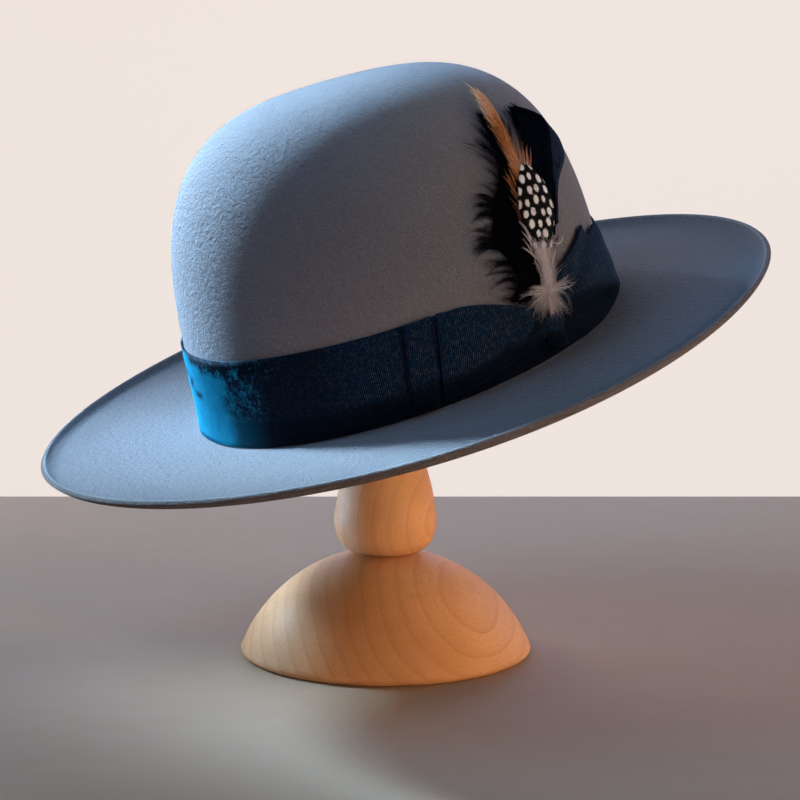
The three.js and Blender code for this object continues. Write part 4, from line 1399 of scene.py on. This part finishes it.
bulb = np.array([(12.5, 0), (17.5, 1.9), (21, 5.6), (22.8, 11), (23.1, 16.5), (21.1, 29),
                 (18.5, 39), (14.5, 55), (12, 72)])
stem_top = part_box("stand_stem")[1].z / MM
head_middle = stem_top - head_radius
rim = head_middle + math.sqrt(head_radius ** 2 - head_rim ** 2)
stem_foot = seat_height + clearance
curve = np.stack([filled_in(bulb[:, 0], 60), filled_in(bulb[:, 1], 60) + stem_foot], -1)
ball = arc(head_radius, head_middle, math.asin((rim - head_middle) / head_radius), math.pi / 2, 30)
stem_outline = [(0, stem_foot), (6, stem_foot), *curve, (post_radius, rim - 16),
                (head_rim - 3, rim - 4), *ball[:-1], (0, stem_top)]
stem_piece = turned_piece("turned_stem", stem_outline, 128)
seat(stem_piece, "stand_stem", slot="wood")
print("dome's seat, mm:", round(seat_height, 1), "top of the head, mm:", round(stem_top, 1))


# %% [markdown]
# The stage is a plain pale floor and a plain pale wall behind it. A cool window stands to the left
# and behind the hat, so light rakes over the felt. The rest of the room answers with weak lights,
# warm from the right and the front and cool from above.

# %% Stage and light
floor_shade, tree = new_material("pale_floor")
fine = noise(tree, place_of(tree), 60, 3, 0.5)
tone = blend(tree, span(tree, fine, 0.3, 0.7, 0.0, 0.06), (0.39, 0.28, 0.185), (0.5, 0.45, 0.4))
finish_material(tree, Base_Color=tone, Roughness=0.8)
wall_shade, tree = new_material("pale_wall")
finish_material(tree, Base_Color=(0.1, 0.09, 0.085), Roughness=0.9,
                Emission_Color=(1.0, 0.89, 0.83), Emission_Strength=0.84)
floor_corners = [(-2.5, -2.0, 0), (2.5, -2.0, 0), (2.5, 0.37, 0), (-2.5, 0.37, 0)]
wall_corners = [(-0.7, 1.3, -0.6), (0.7, 1.3, -0.6), (0.7, 1.3, 0.6), (-0.7, 1.3, 0.6)]
floor = mesh_object("floor", floor_corners, [(0, 1, 2, 3)], floor_shade)
wall = mesh_object("wall", wall_corners, [(0, 1, 2, 3)], wall_shade)


def soft_light(name, place, aim, size, power, spread=180):
    """A rectangle of light. Its power is given for red, green and blue, in watts."""
    lamp = bpy.data.lights.new(name, "AREA")
    lamp.shape = "RECTANGLE"
    lamp.size, lamp.size_y = size
    lamp.energy = max(power)
    lamp.color = [share / max(power) for share in power]
    lamp.spread = math.radians(spread)
    in_scene(name, lamp, place, aim)


whole = (0, 0, 0.2)
soft_light("window_left", (-0.485, 0.238, 0.525), (-0.036, -0.082, 0.256), (0.12, 0.4),
           (0.62, 0.98, 1.34), spread=20.5)
soft_light("window_behind", (-0.1, 1.2, 0.6), whole, (1.0, 0.34), (3.5, 4.5, 7.4))
soft_light("room_behind_left", (-0.75, 0.95, 0.45), whole, (0.6, 0.4), (4.8, 4.0, 3.0))
soft_light("room_behind_right", (0.9, 0.85, 0.45), whole, (0.6, 0.4), (1.7, 2.5, 4.8))
soft_light("room_right", (1.15, 0.1, 0.5), whole, (0.7, 0.6), (5.2, 3.5, 1.8))
soft_light("room_front", (0.25, -1.5, 0.3), (0, 0, 0.15), (0.9, 0.5), (2.2, 0.9, 0.55))
soft_light("room_above", (-0.65, -0.12, 1.0), (0, 0, 0.15), (0.7, 0.6), (1.2, 2.8, 4.9))
soft_light("room_low", (0.8, -0.75, 0.12), (0, 0, 0.045), (0.3, 0.16), (0.110, 0.074, 0.044),
           spread=13)
soft_light("room_low_left", (-0.75, 0.30, 0.05), (0, 0, 0.062), (0.2, 0.06), (0.044, 0.066, 0.10),
           spread=10)
soft_light("window_top", (-0.55, 0.45, 0.72), (0.035, -0.01, 0.262), (0.1, 0.1),
           (0.014, 0.027, 0.045), spread=10)
soft_light("feather_fill", (0.5, -0.95, 0.5), (0.068, -0.068, 0.212), (0.2, 0.2),
           (0.019, 0.0237, 0.0267), spread=9)
world = bpy.data.worlds.new("room")
world.use_nodes = True
sky = world.node_tree.nodes["Background"]
sky.inputs["Color"].default_value = (0.42, 0.62, 0.86, 1)
sky.inputs["Strength"].default_value = 0.08
bpy.context.scene.world = world
bpy.context.scene.view_settings.view_transform = "Standard"
